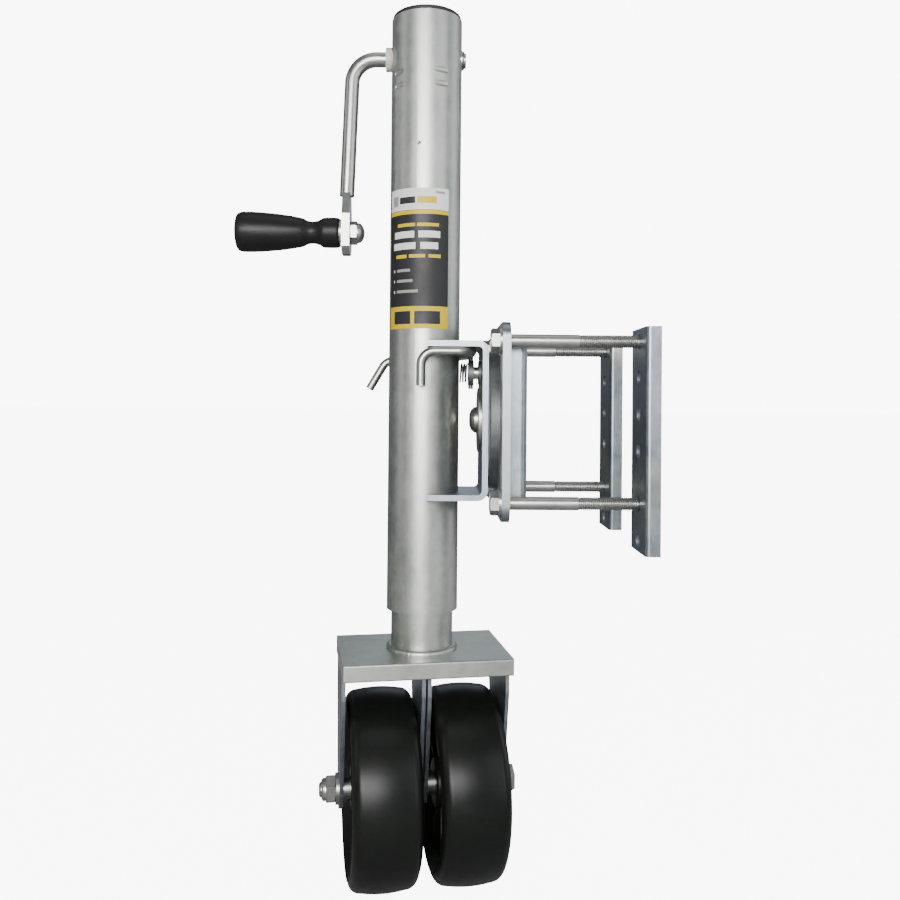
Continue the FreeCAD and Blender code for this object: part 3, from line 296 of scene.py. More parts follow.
def mixed_colour(tree, share, first, second):
    """Colour first where share is 0 and second where it is 1."""
    node = tree.nodes.new("ShaderNodeMix")
    node.data_type = "RGBA"
    tree.links.new(share, node.inputs[0])
    for socket, given in ((node.inputs[6], first), (node.inputs[7], second)):
        if isinstance(given, tuple):
            socket.default_value = (*given, 1)
        else:
            tree.links.new(given, socket)
    return node.outputs[2]


def start_material(name, metallic, shine=0.5):
    """A material with its shader, its place coordinates and its node tree."""
    material = bpy.data.materials.new(name)
    material.use_nodes = True
    tree = material.node_tree
    shader = tree.nodes["Principled BSDF"]
    shader.inputs["Metallic"].default_value = metallic
    shader.inputs["Specular IOR Level"].default_value = shine
    place = tree.nodes.new("ShaderNodeTexCoord").outputs["Object"]
    return material, tree, shader, place


def add_bump(tree, shader, height, strength, distance):
    bump = tree.nodes.new("ShaderNodeBump")
    bump.inputs["Strength"].default_value = strength
    bump.inputs["Distance"].default_value = distance
    tree.links.new(height, bump.inputs["Height"])
    tree.links.new(bump.outputs["Normal"], shader.inputs["Normal"])


def plated(name, light, dark, rough, spread, size=1.0, bump=0.12, metallic=1.0, bath=0.0):
    """Plated steel: two tints in clouds, fine drawn lines, and scuffs that catch the light."""
    material, tree, shader, place = start_material(name, metallic)
    cloud = group_node(tree, clouds, place)
    cloud.inputs["Size"].default_value = size
    mark = group_node(tree, marks, place)
    tint = mixed_colour(tree, cloud.outputs["Clouds"], dark, light)
    drift = noise(tree, place, 13.0, 2)
    violet = maths(tree, "MULTIPLY", widened(tree, drift, 0.50, 0.68), bath)
    amber = maths(tree, "MULTIPLY", widened(tree, drift, 0.48, 0.32), bath)
    tint = mixed_colour(tree, violet, tint, (0.46, 0.40, 0.54))
    tint = mixed_colour(tree, amber, tint, (0.58, 0.55, 0.42))
    speck = maths(tree, "MULTIPLY", cloud.outputs["Grain"], 0.22)
    pitted = mixed_colour(tree, speck, tint, tuple(0.62 * x for x in dark))
    tree.links.new(pitted, shader.inputs["Base Color"])
    base = maths(tree, "MULTIPLY_ADD", cloud.outputs["Clouds"], spread)
    base.node.inputs[2].default_value = rough
    streaked = maths(tree, "SUBTRACT", base, maths(tree, "MULTIPLY", mark.outputs["Scuffs"], 0.12))
    tree.links.new(streaked, shader.inputs["Roughness"])
    height = maths(tree, "ADD", maths(tree, "MULTIPLY", mark.outputs["Lines"], 0.4), cloud.outputs["Grain"])
    add_bump(tree, shader, height, bump, 0.0002)
    return material


zinc_tube = plated("satin_zinc_tube", (0.66, 0.67, 0.62), (0.52, 0.53, 0.49), 0.38, 0.08, bump=0.07)
zinc_plate = plated("blue_zinc_plate", (0.37, 0.415, 0.445), (0.26, 0.295, 0.325), 0.32, 0.10,
                    size=1.4, bump=0.06, bath=0.35)
bright_zinc = plated("bright_zinc", (0.54, 0.54, 0.51), (0.43, 0.43, 0.41), 0.30, 0.06, size=1.2, bump=0.02)
# Painted shade: the swivel face's dark colour stands in for the shadow in the gap between the bracket's web and
# the mount plate.
dark_steel = plated("swivel_face_painted_shade", (0.17, 0.18, 0.18), (0.10, 0.105, 0.105), 0.42, 0.12,
                    size=1.6, bump=0.2, metallic=0.75)
bronze = plated("oiled_bronze", (0.52, 0.38, 0.20), (0.36, 0.26, 0.14), 0.30, 0.1, size=1.5)
print("metals", [m.name for m in (zinc_tube, zinc_plate, bright_zinc, dark_steel, bronze)])


# %% [markdown]
# ## Finishes: the plastics
# The wheels are hard moulded plastic with a soft sheen. The floor has dulled the tread a little, so its
# roughness rises in patches. The grip is the same black with a satin skin, and the cap is duller.

# %% A moulded plastic
def moulded(name, colour, lighter, rough, worn, bump, shine):
    """Moulded plastic: faint flow clouds, fine dust and small dull patches in the gloss."""
    material, tree, shader, place = start_material(name, 0.0, shine)
    cloud = group_node(tree, clouds, place)
    cloud.inputs["Size"].default_value = 0.8
    mark = group_node(tree, marks, place)
    dust = maths(tree, "MULTIPLY", cloud.outputs["Clouds"], 0.35)
    tree.links.new(mixed_colour(tree, dust, colour, lighter), shader.inputs["Base Color"])
    dull = maths(tree, "MULTIPLY_ADD", cloud.outputs["Clouds"], worn)
    dull.node.inputs[2].default_value = rough
    tree.links.new(maths(tree, "ADD", dull, maths(tree, "MULTIPLY", mark.outputs["Scuffs"], 0.08)),
                   shader.inputs["Roughness"])
    add_bump(tree, shader, cloud.outputs["Grain"], bump, 0.0001)
    return material


wheel_black = moulded("satin_wheel_black", (0.0062, 0.0068, 0.0058), (0.012, 0.0125, 0.0108),
                      rough=0.30, worn=0.05, bump=0.06, shine=0.22)
grip_black = moulded("satin_grip_black", (0.008, 0.0084, 0.0076), (0.016, 0.0164, 0.015),
                     rough=0.36, worn=0.08, bump=0.15, shine=0.25)
cap_black = moulded("cap_black", (0.018, 0.0175, 0.017), (0.032, 0.031, 0.029),
                    rough=0.42, worn=0.12, bump=0.3, shine=0.4)
nylon = moulded("pale_nylon", (0.56, 0.54, 0.49), (0.64, 0.62, 0.57),
                 rough=0.42, worn=0.1, bump=0.2, shine=0.5)
print("plastics", [m.name for m in (wheel_black, grip_black, cap_black, nylon)])


# %% [markdown]
# ## Finishes: the wrapped label
# A printed film is wrapped round the front of the tube. It holds plain bands of white, yellow and black
# with rows of plain bars, and no words. A picture file could carry the print, but a few masks do it with
# no file: each bar is a rectangle given by its centre and half its size, all as shares of the way round
# and of the height.

# %% Label: one bar
bar_group, bar_in, bar_out = new_group(
    "print_bar", [("Across", "NodeSocketFloat", 0.5), ("Down", "NodeSocketFloat", 0.5),
                  ("Centre", "NodeSocketFloat", 0.5), ("Half width", "NodeSocketFloat", 0.1),
                  ("Row", "NodeSocketFloat", 0.5), ("Half height", "NodeSocketFloat", 0.02)],
    [("Mask", "NodeSocketFloat")])


def distance_between(place, middle):
    """How far one named input of the bar is from another."""
    difference = maths(bar_group, "SUBTRACT", bar_in.outputs[place], bar_in.outputs[middle])
    return maths(bar_group, "ABSOLUTE", difference)


off_across = distance_between("Across", "Centre")
off_down = distance_between("Down", "Row")
inside = maths(bar_group, "MULTIPLY",
               maths(bar_group, "LESS_THAN", off_across, bar_in.outputs["Half width"]),
               maths(bar_group, "LESS_THAN", off_down, bar_in.outputs["Half height"]))
bar_group.links.new(inside, bar_out.inputs["Mask"])
print("group", bar_group.name, len(bar_group.nodes), "nodes")

# %% Label: coordinates, bands and bars
label_low, label_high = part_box("label_plate")
label_film, label_tree, label_shader, label_place = start_material("label_film", 0.0)
split = label_tree.nodes.new("ShaderNodeSeparateXYZ")
label_tree.links.new(label_place, split.inputs[0])
from_centre = maths(label_tree, "SUBTRACT", split.outputs["X"], tube_centre.x)
toward_front = maths(label_tree, "SUBTRACT", tube_centre.y, split.outputs["Y"])
turned_by = maths(label_tree, "ARCTAN2", from_centre, toward_front)
LABEL_FROM, LABEL_SWEEP = math.radians(-69), math.radians(109)
across = maths(label_tree, "DIVIDE", maths(label_tree, "SUBTRACT", turned_by, LABEL_FROM), LABEL_SWEEP)
down = maths(label_tree, "DIVIDE", maths(label_tree, "SUBTRACT", label_high.z, split.outputs["Z"]),
             label_high.z - label_low.z)
WHITE, YELLOW, INK, GREY = (0.80, 0.79, 0.75), (0.66, 0.46, 0.0), (0.015, 0.014, 0.016), (0.30, 0.29, 0.27)
BARS = [  # colour, centre across, half width, row down, half height
    (INK, 0.5, 0.6, 0.50, 0.345),
    (YELLOW, 0.5, 0.6, 0.172, 0.014),
    (YELLOW, 0.5, 0.6, 0.922, 0.080),
    (GREY, 0.14, 0.060, 0.085, 0.036), (INK, 0.36, 0.13, 0.085, 0.024), (YELLOW, 0.66, 0.14, 0.085, 0.024),
    (GREY, 0.86, 0.07, 0.030, 0.008),
    (YELLOW, 0.34, 0.15, 0.262, 0.012), (YELLOW, 0.68, 0.16, 0.262, 0.012),
    (WHITE, 0.30, 0.18, 0.330, 0.024), (WHITE, 0.70, 0.16, 0.330, 0.024),
    (WHITE, 0.30, 0.20, 0.412, 0.024), (WHITE, 0.70, 0.13, 0.412, 0.024),
    (YELLOW, 0.26, 0.10, 0.485, 0.012), (YELLOW, 0.52, 0.12, 0.485, 0.012),
    (YELLOW, 0.78, 0.09, 0.485, 0.012),
    (GREY, 0.30, 0.12, 0.585, 0.010), (GREY, 0.32, 0.14, 0.660, 0.010), (GREY, 0.36, 0.18, 0.735, 0.010),
    (WHITE, 0.12, 0.012, 0.585, 0.010), (WHITE, 0.12, 0.012, 0.660, 0.010),
    (WHITE, 0.12, 0.012, 0.735, 0.010),
    (INK, 0.28, 0.15, 0.922, 0.046), (INK, 0.68, 0.19, 0.922, 0.046),
]
FILM_ROUGH, FILM_SPREAD = 0.45, 0.12
printed = WHITE
for colour, *numbers in BARS:
    bar = label_tree.nodes.new("ShaderNodeGroup")
    bar.node_tree = bar_group
    label_tree.links.new(across, bar.inputs["Across"])
    label_tree.links.new(down, bar.inputs["Down"])
    for socket, number in zip(("Centre", "Half width", "Row", "Half height"), numbers):
        bar.inputs[socket].default_value = number
    printed = mixed_colour(label_tree, bar.outputs["Mask"], printed, colour)
label_tree.links.new(printed, label_shader.inputs["Base Color"])
film_cloud = group_node(label_tree, clouds, label_place)
film_rough = maths(label_tree, "MULTIPLY_ADD", film_cloud.outputs["Clouds"], FILM_SPREAD)
film_rough.node.inputs[2].default_value = FILM_ROUGH
label_tree.links.new(film_rough, label_shader.inputs["Roughness"])
print("label bars", len(BARS))


# %% [markdown]
# ## Dress the frame's own parts
# Tubes, plates and channels already have the right shape, down to their bends and drilled holes. They only
# need a finish. Each part's slot says which metal or plastic it is made of, so one table dresses them all.

# %% Finish for each slot
finishes = {
    "zinc_tube": zinc_tube, "zinc_plate": zinc_plate, "bright_zinc": bright_zinc, "dark_steel": dark_steel,
    "weld_bead": zinc_tube, "bronze_nut": bronze, "black_plastic": cap_black, "black_grip": grip_black,
    "black_wheel": wheel_black, "pale_nylon": nylon, "label_film": label_film,
}
for part in frame["record"]["subparts"]:
    own = frame["nodes"][part["node"]]
    own.data.materials.clear()
    own.data.materials.append(finishes[part["material_slot"]])


# %% [markdown]
# ## A small lathe
# Wheels, the grip and nuts are round about an axis. On a lathe the maker cuts an outline and the work
# spins. Here the outline starts as one corner, is drawn by extruding it from place to place, and is then
# spun right round. Each place is (distance along the axis, distance out from it).

# %% Lathe
def clear_selection():
    if bpy.context.object and bpy.context.object.mode != "OBJECT":
        bpy.ops.object.mode_set(mode="OBJECT")
    bpy.ops.object.select_all(action="DESELECT")


def lathe(name, places, centre, axis, steps=64):
    """A closed round piece with its outline spun about the axis through centre."""
    outward = (UP - axis * UP.dot(axis)).normalized()
    points = [centre + axis * along + outward * out for along, out in places]
    clear_selection()
    bpy.ops.mesh.primitive_plane_add(size=0.002, location=(0, 0, 0))
    piece = bpy.context.object
    piece.name = name
    bpy.ops.object.mode_set(mode="EDIT")
    bpy.ops.mesh.select_all(action="SELECT")
    bpy.ops.mesh.merge(type="CENTER")
    bpy.ops.transform.translate(value=points[0])
    for before, after in zip(points, points[1:]):
        bpy.ops.mesh.extrude_region_move(TRANSFORM_OT_translate={"value": after - before})
    bpy.ops.mesh.select_all(action="SELECT")
    bpy.ops.mesh.spin(steps=steps, angle=2 * math.pi, center=centre, axis=axis)
    bpy.ops.mesh.select_all(action="SELECT")
    bpy.ops.mesh.remove_doubles(threshold=1e-6)
    bpy.ops.mesh.normals_make_consistent(inside=False)
    bpy.ops.object.mode_set(mode="OBJECT")
    return piece


def rounded(centre_along, centre_out, radius, first, last, count=6):
    """Places on a round corner, from one bearing to another in degrees; 90 points out."""
    bearings = [math.radians(first + (last - first) * i / count) for i in range(count + 1)]
    return [(centre_along + radius * math.cos(b), centre_out + radius * math.sin(b)) for b in bearings]


def finish_piece(piece, material, smooth=35):
    """Give a piece its material and smooth shading that keeps its sharp edges."""
    clear_selection()
    piece.select_set(True)
    bpy.context.view_layer.objects.active = piece
    piece.data.materials.clear()
    piece.data.materials.append(material)
    bpy.ops.object.shade_smooth_by_angle(angle=math.radians(smooth))
    return piece


def joined(pieces, name):
    """Several pieces as one object."""
    clear_selection()
    for piece in pieces:
        piece.select_set(True)
    bpy.context.view_layer.objects.active = pieces[0]
    bpy.ops.object.join()
    pieces[0].name = name
    return pieces[0]


print("lathe ready")


# %% [markdown]
# ## The wheels
# Each wheel is one moulding: a crowned tread, rounded shoulders with a fine raised line where the mould's
# ring met its sides, and a deep dish on both sides with a hub at its middle. Ribs tie the hub to the rim.
# A cylinder with a bevel would miss the dish, so the whole cross-section is drawn and spun.

# %% Wheel outline
WHEEL_RADIUS, WHEEL_HALF, HUB_HALF = 0.0762, 0.02675, 0.0225
HUB_RADIUS, WEB_HALF, RIM_INSIDE, BORE = 0.0190, 0.0055, 0.0655, 0.00755
SHOULDER, CROWN, LINE = 0.0085, 0.0016, 0.0005


def wheel_side():
    """Half of the cross-section, from the bore, over the dish and the shoulder, to the tread's middle."""
    places = [(HUB_HALF, BORE), *rounded(HUB_HALF - 0.002, HUB_RADIUS - 0.002, 0.002, 0, 90, 4)]
    places += [(WEB_HALF + 0.004, HUB_RADIUS + 0.0012), (WEB_HALF + 0.001, HUB_RADIUS + 0.0028)]
    places += [(WEB_HALF, HUB_RADIUS + 0.006), (WEB_HALF, RIM_INSIDE - 0.007)]
    places += [(WEB_HALF + 0.001, RIM_INSIDE - 0.0035), (WEB_HALF + 0.004, RIM_INSIDE - 0.0018)]
    places += [(WHEEL_HALF - 0.0012, RIM_INSIDE), (WHEEL_HALF, RIM_INSIDE + 0.0008)]
    edge = WHEEL_RADIUS - CROWN
    places += [(WHEEL_HALF, edge - SHOULDER - 0.0008)]
    places += [(WHEEL_HALF - 0.0001, edge - SHOULDER), (WHEEL_HALF - LINE, edge - SHOULDER + 0.0006)]
    places += rounded(WHEEL_HALF - SHOULDER - LINE, edge - SHOULDER, SHOULDER, 8, 84, 9)
    tread_half = WHEEL_HALF - SHOULDER - LINE
    for share in (0.9, 0.7, 0.45, 0.2):
        places.append((tread_half * share, WHEEL_RADIUS - CROWN * share * share))
    return places


wheel_outline = wheel_side()
wheel_outline += [(0, WHEEL_RADIUS)] + [(-along, out) for along, out in reversed(wheel_side())]
wheel_outline.append(wheel_outline[0])
print("wheel outline", len(wheel_outline), "places")


# %% Ribs of one wheel
def wheel_ribs(centre):
    """Eight ribs on each side, from the hub to the rim, thinner towards their edge."""
    ribs = []
    across = axle_line.cross(UP).normalized()
    for side in (-1, 1):
        for step in range(8):
            bearing = math.radians(45 * step + 22.5)
            out = UP * math.cos(bearing) + across * math.sin(bearing)
            thick = axle_line.cross(out).normalized()
            clear_selection()
            bpy.ops.mesh.primitive_cube_add(size=1, location=(0, 0, 0))
            rib = bpy.context.object
            for corner in rib.data.vertices:
                reach = HUB_RADIUS - 0.001 if corner.co.x < 0 else RIM_INSIDE + 0.001
                top = (WHEEL_HALF - 0.009 if corner.co.x < 0 else WHEEL_HALF - 0.0065)
                height = WEB_HALF - 0.001 if corner.co.z < 0 else top
                half = 0.0016 if corner.co.z < 0 else 0.0011
                sideways = thick * math.copysign(half, corner.co.y)
                corner.co = centre + out * reach + axle_line * (side * height) + sideways
            rib.select_set(True)
            bpy.ops.object.mode_set(mode="EDIT")
            bpy.ops.mesh.select_all(action="SELECT")
            bpy.ops.mesh.bevel(offset=0.0005, segments=2, affect="EDGES")
            bpy.ops.mesh.select_all(action="SELECT")
            bpy.ops.mesh.normals_make_consistent(inside=False)
            bpy.ops.object.mode_set(mode="OBJECT")
            ribs.append(rib)
    return ribs


# %% Both wheels
wheel_middles = {}
for side_name, node, body in (("left", "wheel_left", "left_wheel"), ("right", "wheel_right", "right_wheel")):
    low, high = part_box(node)
    middle = (low + high) / 2
    middle = axle_centre + axle_line * (middle - axle_centre).dot(axle_line)
    wheel_middles[side_name] = middle
    tyre = lathe(f"wheel_body_{side_name}", wheel_outline, middle, axle_line, 112)
    wheel = joined([tyre, *wheel_ribs(middle)], f"moulded_wheel_{side_name}")
    finish_piece(wheel, wheel_black, 28)
    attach(wheel, body)
    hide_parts(node)
print("wheels", {name: [round(x, 4) for x in place] for name, place in wheel_middles.items()})


# %% [markdown]
# ## The grip
# The grip swells towards its free end, narrows to a waist for the finger and thumb, and flares again where
# it meets the crank. A few places along its length are enough, because a subdivision surface draws a
# smooth line through them. Places doubled at the ends keep the rims crisp.

# %% Grip
grip_low, grip_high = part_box("grip")
grip_middle = Vector((grip_low.x, (grip_low.y + grip_high.y) / 2, (grip_low.z + grip_high.z) / 2))
GRIP_RADIUS = (grip_high.z - grip_low.z) / 2
GRIP_LENGTH = grip_high.x - grip_low.x
grip_places = [
    (0.0014, 0.0), (0.0009, 0.0065), (0.0004, 0.0110), (0.0008, 0.0142), (0.0030, 0.0161),
    (0.0075, GRIP_RADIUS),
    (0.0180, 0.01625), (0.0300, 0.01530), (0.0420, 0.01390), (0.0500, 0.01250), (0.0545, 0.01150),
    (0.0552, 0.01105), (0.0580, 0.0093), (0.0625, 0.0088), (0.0665, 0.0096), (0.0692, 0.0112),
    (0.0700, 0.01185),
    (0.0710, 0.0122), (0.0750, 0.0124), (0.0815, 0.0124), (0.0832, 0.0121), (GRIP_LENGTH, 0.0112),
    (GRIP_LENGTH, 0.0098), (0.0825, 0.0092), (0.0730, 0.0090), (0.0725, 0.0),
]
grip = lathe("moulded_grip", grip_places, grip_middle, EAST, 40)
smoother = grip.modifiers.new("smooth", "SUBSURF")
smoother.levels = smoother.render_levels = 1
bpy.ops.object.modifier_apply(modifier="smooth")
finish_piece(grip, grip_black, 50)
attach(grip, "grip")
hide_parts("grip")
print("grip", round(GRIP_LENGTH, 4), "long,", len(grip.data.polygons), "faces")


# %% [markdown]
# ## Nuts and bolt heads
# A forged hexagon isn't a plain prism: its corners are turned away at about thirty degrees, which leaves
# the curved edge that catches light on every flat. The sure way to get that edge is the real one, so a
# turned blank and a six-sided bar are cut against each other.

# %% Hexagon with turned corners
def hexagon_piece(name, base, axis, circumradius, height, both=False):
    """A hexagon that grows from base along the axis, with its far corners turned away, or both ends'."""
    inner = circumradius * 0.866 * 0.96
    outer = circumradius * 1.01
    drop = (outer - inner) * math.tan(math.radians(30))
    foot = [(0, 0), (0, inner), (drop, outer)] if both else [(0, 0), (0, outer)]
    top = [(height - drop, outer), (height, inner), (height, 0)]
    blank = lathe(name + "_blank", foot + top, base, axis, 48)
    clear_selection()
    turn = axis.to_track_quat("Z", "Y").to_euler()
    bpy.ops.mesh.primitive_cylinder_add(vertices=6, radius=circumradius, depth=height * 1.02,
                                        location=base + axis * height / 2, rotation=turn)
    bar = bpy.context.object
    bar.name = name
    bpy.ops.object.transform_apply(location=True, rotation=True, scale=True)
    cut = bar.modifiers.new("corners", "BOOLEAN")
    cut.operation = "INTERSECT"
    cut.object = blank
    bpy.ops.object.modifier_apply(modifier="corners")
    bpy.data.objects.remove(blank)
    return bar


print("hexagon ready")


# %% [markdown]
# ## Screw threads
# A thread is one small ridge that climbs at a steady rate. The Screw modifier sweeps a four-sided ridge
# along that path, and a plain core closes it from inside. Modelling it, and not only painting it, keeps
# the saw-tooth outline against a pale background.

# %% Thread
def thread(name, start, length, radius, pitch, segments=20):
    """A rod with a raised helical ridge, along X, that starts at a point."""
    depth = pitch * 0.55
    clear_selection()
    bpy.ops.mesh.primitive_circle_add(vertices=4, radius=0.5, location=start, rotation=(math.pi / 2, 0, 0))
    ridge = bpy.context.object
    half_foot, half_crest = pitch * 0.44, pitch * 0.08
    shape = [(-half_foot, radius - depth - 0.0002), (-half_crest, radius),
             (half_crest, radius), (half_foot, radius - depth - 0.0002)]
    bpy.ops.object.transform_apply(location=False, rotation=True, scale=True)
    for corner, (along, out) in zip(ridge.data.vertices, shape):
        corner.co = (half_foot + along, 0, out)
    winding = ridge.modifiers.new("winding", "SCREW")
    winding.axis = "X"
    winding.angle = 2 * math.pi
    winding.screw_offset = pitch
    winding.iterations = int((length - 2 * half_foot) / pitch)
    winding.steps = winding.render_steps = segments
    winding.use_merge_vertices = False
    bpy.ops.object.modifier_apply(modifier="winding")
    bpy.ops.object.transform_apply(location=True, rotation=True, scale=True)
    bpy.ops.object.mode_set(mode="EDIT")
    bpy.ops.mesh.select_all(action="SELECT")
    bpy.ops.mesh.fill_holes(sides=4)
    bpy.ops.mesh.select_all(action="SELECT")
    bpy.ops.mesh.normals_make_consistent(inside=False)
    bpy.ops.object.mode_set(mode="OBJECT")
    core = lathe(name + "_core", [(0, 0), (0, radius - depth), (length, radius - depth), (length, 0)],
                 Vector(start), EAST, 32)
    return joined([core, ridge], name)


print("thread ready")


# %% [markdown]
# ## The four clamp bolts
# Long bolts hold the mount plate to the two backing channels. Their heads stay on the jack's side, and
# only the far half of each shank is threaded, which shows as a change of shine at half its length. Each
# bolt is a head, a plain shank, a thread and a chamfered end.

# %% Clamp bolts
bolts_low, bolts_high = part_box("clamp_bolts")
washers_low, washers_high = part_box("clamp_bolt_washers")
WASHER_RADIUS, BOLT_RADIUS, BOLT_HEAD, BOLT_HEAD_HEIGHT, BOLT_PITCH = 0.0105, 0.0050, 0.0092, 0.0064, 0.0015
bolt_y = washers_high.y - WASHER_RADIUS - (washers_high.y + washers_low.y) / 2
bolt_z = washers_high.z - WASHER_RADIUS - (washers_high.z + washers_low.z) / 2
thread_start = bolts_low.x + 0.55 * (bolts_high.x - bolts_low.x)
bolt_places = [(side, level) for side in (-bolt_y, bolt_y) for level in (-bolt_z, bolt_z)]
bolt_pieces = []
for side, level in bolt_places:
    seat = Vector((bolts_low.x + BOLT_HEAD_HEIGHT, side, level))
    head = hexagon_piece("bolt_head", seat, -EAST, BOLT_HEAD, BOLT_HEAD_HEIGHT)
    plain = thread_start - seat.x
    shank = lathe("bolt_shank", [(-0.0002, 0), (-0.0002, BOLT_RADIUS), (plain - 0.001, BOLT_RADIUS),
                                 (plain, BOLT_RADIUS - 0.0008), (plain, 0)], seat, EAST, 32)
    run = bolts_high.x - thread_start
    worm = thread("bolt_thread", (thread_start, side, level), run - 0.001, BOLT_RADIUS, BOLT_PITCH)
    tip_places = [(run - 0.003, 0), (run - 0.003, BOLT_RADIUS - 0.0008), (run - 0.0006, BOLT_RADIUS - 0.0009),
                  (run, BOLT_RADIUS - 0.0018), (run, 0)]
    tip = lathe("bolt_tip", tip_places, Vector((thread_start, side, level)), EAST, 32)
    bolt_pieces += [head, shank, worm, tip]
clamp_bolts = joined(bolt_pieces, "threaded_clamp_bolts")
finish_piece(clamp_bolts, bright_zinc, 30)
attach(clamp_bolts, "clamp")
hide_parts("clamp_bolts")
print("clamp bolts at", [(round(a, 4), round(b, 4)) for a, b in bolt_places])


# %% Clamp nuts
nuts_low, nuts_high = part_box("clamp_nuts")
NUT_FLANGE = (nuts_high.y - nuts_low.y) / 2 - bolt_y
nut_pieces = []
for side, level in bolt_places:
    seat = Vector((nuts_low.x, side, level))
    height = nuts_high.x - nuts_low.x
    hexagon = hexagon_piece("nut_hexagon", seat + EAST * 0.001, EAST, BOLT_HEAD * 0.96, height - 0.001)
    flange_places = [(0, BOLT_RADIUS), (0, NUT_FLANGE - 0.0003), (0.0004, NUT_FLANGE), (0.0010, NUT_FLANGE),
                     (0.0024, BOLT_HEAD * 0.90), (0.0024, BOLT_RADIUS), (0, BOLT_RADIUS)]
    flange = lathe("nut_flange", flange_places, seat, EAST, 48)
    nut_pieces += [hexagon, flange]
clamp_nuts = joined(nut_pieces, "flanged_clamp_nuts")
finish_piece(clamp_nuts, bright_zinc, 30)
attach(clamp_nuts, "backing")
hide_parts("clamp_nuts")
print("clamp nuts", len(nut_pieces) // 2)


# %% [markdown]
# ## The domed nut on the crank
# The grip's bolt is closed by a domed nut, so that no sharp thread is left where a hand goes round. The
# hexagon comes from the same helper, and the dome is a turned cap with a fine groove at its foot.

# %% Domed nut
acorn_low, acorn_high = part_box("acorn_nut")
acorn_seat = Vector((acorn_low.x, 0, (acorn_low.z + acorn_high.z) / 2))
ACORN_RADIUS, ACORN_HEX = (acorn_high.z - acorn_low.z) / 2, 0.0060
acorn_hexagon = hexagon_piece("acorn_hexagon", acorn_seat, EAST, ACORN_RADIUS, ACORN_HEX, both=True)
dome_radius = ACORN_RADIUS * 0.84
dome_top = acorn_high.x - acorn_low.x
dome_foot = ACORN_HEX + 0.0003
dome_places = [(ACORN_HEX - 0.001, 0), (ACORN_HEX - 0.001, dome_radius * 0.96), (dome_foot, dome_radius * 0.96)]
for degrees in range(0, 91, 10):
    bearing = math.radians(degrees)
    rise = (dome_top - dome_foot) * math.sin(bearing)
    dome_places.append((dome_foot + rise, dome_radius * math.cos(bearing)))
dome = lathe("acorn_dome", dome_places, acorn_seat, EAST, 48)
acorn = joined([acorn_hexagon, dome], "domed_nut")
finish_piece(acorn, bright_zinc, 40)
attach(acorn, "crank")
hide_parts("acorn_nut")
print("domed nut", len(acorn.data.polygons), "faces")


# %% [markdown]
# ## The nut on the axle bolt
# The nut on the axle has a turned collar that is squeezed on the thread so that it never comes loose. The
# axle is turned a little, so the nut's place is measured along the axle and not along the frame's axes.

# %% Axle nut
plain_nut = frame["nodes"]["axle_nut"]
nut_reaches = [(plain_nut.matrix_world @ corner.co - axle_centre).dot(axle_line)
               for corner in plain_nut.data.vertices]
nut_low, nut_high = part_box("axle_nut")
NUT_RADIUS, NUT_HEIGHT = (nut_high.z - nut_low.z) / 2, max(nut_reaches) - min(nut_reaches)
nut_seat = axle_centre + axle_line * max(nut_reaches)
hexagon_height = NUT_HEIGHT * 0.70
nut_hexagon = hexagon_piece("nut_hexagon", nut_seat, -axle_line, NUT_RADIUS, hexagon_height, both=True)
collar_radius = NUT_RADIUS * 0.78
collar_places = [(hexagon_height - 0.001, 0), (hexagon_height - 0.001, collar_radius),
                 (NUT_HEIGHT - 0.0014, collar_radius), (NUT_HEIGHT - 0.0004, collar_radius - 0.0007),
                 (NUT_HEIGHT, collar_radius - 0.0018), (NUT_HEIGHT, 0)]
nut_collar = lathe("nut_collar", collar_places, nut_seat, -axle_line, 48)
axle_nut = joined([nut_hexagon, nut_collar], "collared_axle_nut")
finish_piece(axle_nut, bright_zinc, 35)
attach(axle_nut, "leg")
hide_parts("axle_nut")
print("axle nut radius", round(NUT_RADIUS, 4), "height", round(NUT_HEIGHT, 4))


# %% [markdown]
# ## Weld beads
# The bracket and the leg are welded, and a hand-laid bead is a row of small overlapping ripples. A torus
# gives the bead's path, and drawing in every second ring of it makes the ripples.

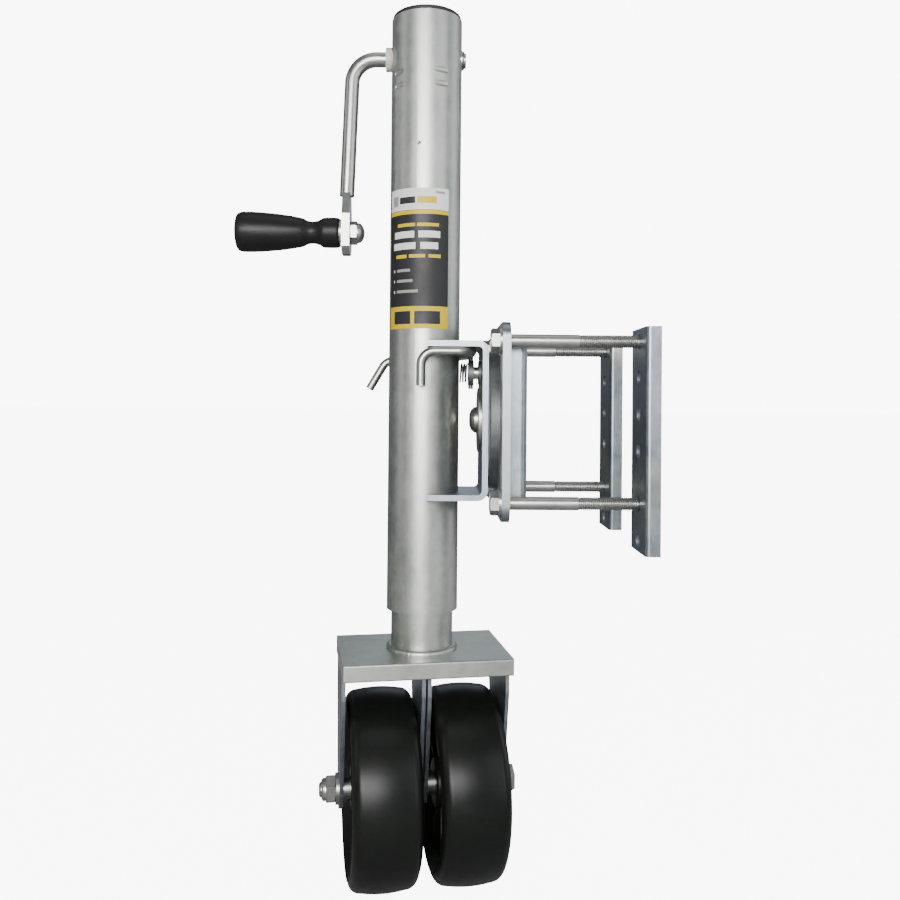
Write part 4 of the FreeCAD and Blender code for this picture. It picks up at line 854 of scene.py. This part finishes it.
# %% Bead along an arc
def weld_bead(name, centre, radius, thick, first, last, rings=180):
    """A rippled bead on a level arc round centre, from one bearing to another in degrees."""
    clear_selection()
    bpy.ops.mesh.primitive_torus_add(major_radius=radius, minor_radius=thick, major_segments=rings,
                                     minor_segments=12, location=centre)
    bead = bpy.context.object
    bead.name = name
    bpy.ops.object.transform_apply(location=True, rotation=True, scale=True)
    per_ring = 12
    for index, corner in enumerate(bead.data.vertices):
        ring = index // per_ring
        heart = math.radians(360 * ring / rings)
        middle = centre + Vector((math.cos(heart), math.sin(heart), 0)) * radius
        ripple = (0.90, 1.0, 0.96)[ring % 3] + 0.03 * math.sin(ring * 2.3)
        corner.co = middle + (corner.co - middle) * ripple
    bpy.ops.object.mode_set(mode="EDIT")
    bpy.ops.mesh.select_all(action="DESELECT")
    bpy.ops.object.mode_set(mode="OBJECT")
    if last - first < 360:
        for corner in bead.data.vertices:
            bearing = math.degrees(math.atan2(corner.co.y - centre.y, corner.co.x - centre.x)) % 360
            corner.select = not (first <= bearing <= last or first <= bearing - 360 <= last)
        bpy.ops.object.mode_set(mode="EDIT")
        bpy.ops.mesh.delete(type="VERT")
        bpy.ops.mesh.select_all(action="SELECT")
        bpy.ops.mesh.fill_holes(sides=per_ring)
        bpy.ops.object.mode_set(mode="OBJECT")
    return bead


bracket_low, bracket_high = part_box("tube_bracket")
beads = []
for bead_name, level, thick in (("bead_top", bracket_high.z, 0.0017), ("bead_low", bracket_low.z, 0.0015)):
    heart = Vector((tube_centre.x, tube_centre.y, level))
    beads.append(weld_bead(bead_name, heart, tube_radius + 0.0006, thick, -84, 84))
bracket_weld = joined(beads, "bracket_weld")
finish_piece(bracket_weld, zinc_tube, 60)
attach(bracket_weld, "jack_tube")
leg_low, leg_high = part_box("inner_tube")
leg_radius = (leg_high.x - leg_low.x) / 2
plate_low, plate_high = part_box("carriage_plate")
leg_bead = weld_bead("leg_weld_bead", Vector((tube_centre.x, tube_centre.y, plate_high.z + 0.0006)),
                     leg_radius + 0.0010, 0.0030, 0, 360, 132)
finish_piece(leg_bead, zinc_tube, 60)
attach(leg_bead, "leg")
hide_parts("leg_weld")
print("beads", len(bracket_weld.data.polygons), len(leg_bead.data.polygons))


# %% [markdown]
# ## Sizes, and the end
# The finished model must fill the same box as the frame. Both boxes are printed, the frame's at the start and
# this one here, so that they can be compared.

# %% Print the final box and finish
low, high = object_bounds()
print("final box", [round(x, 4) for x in (*low, *high)])
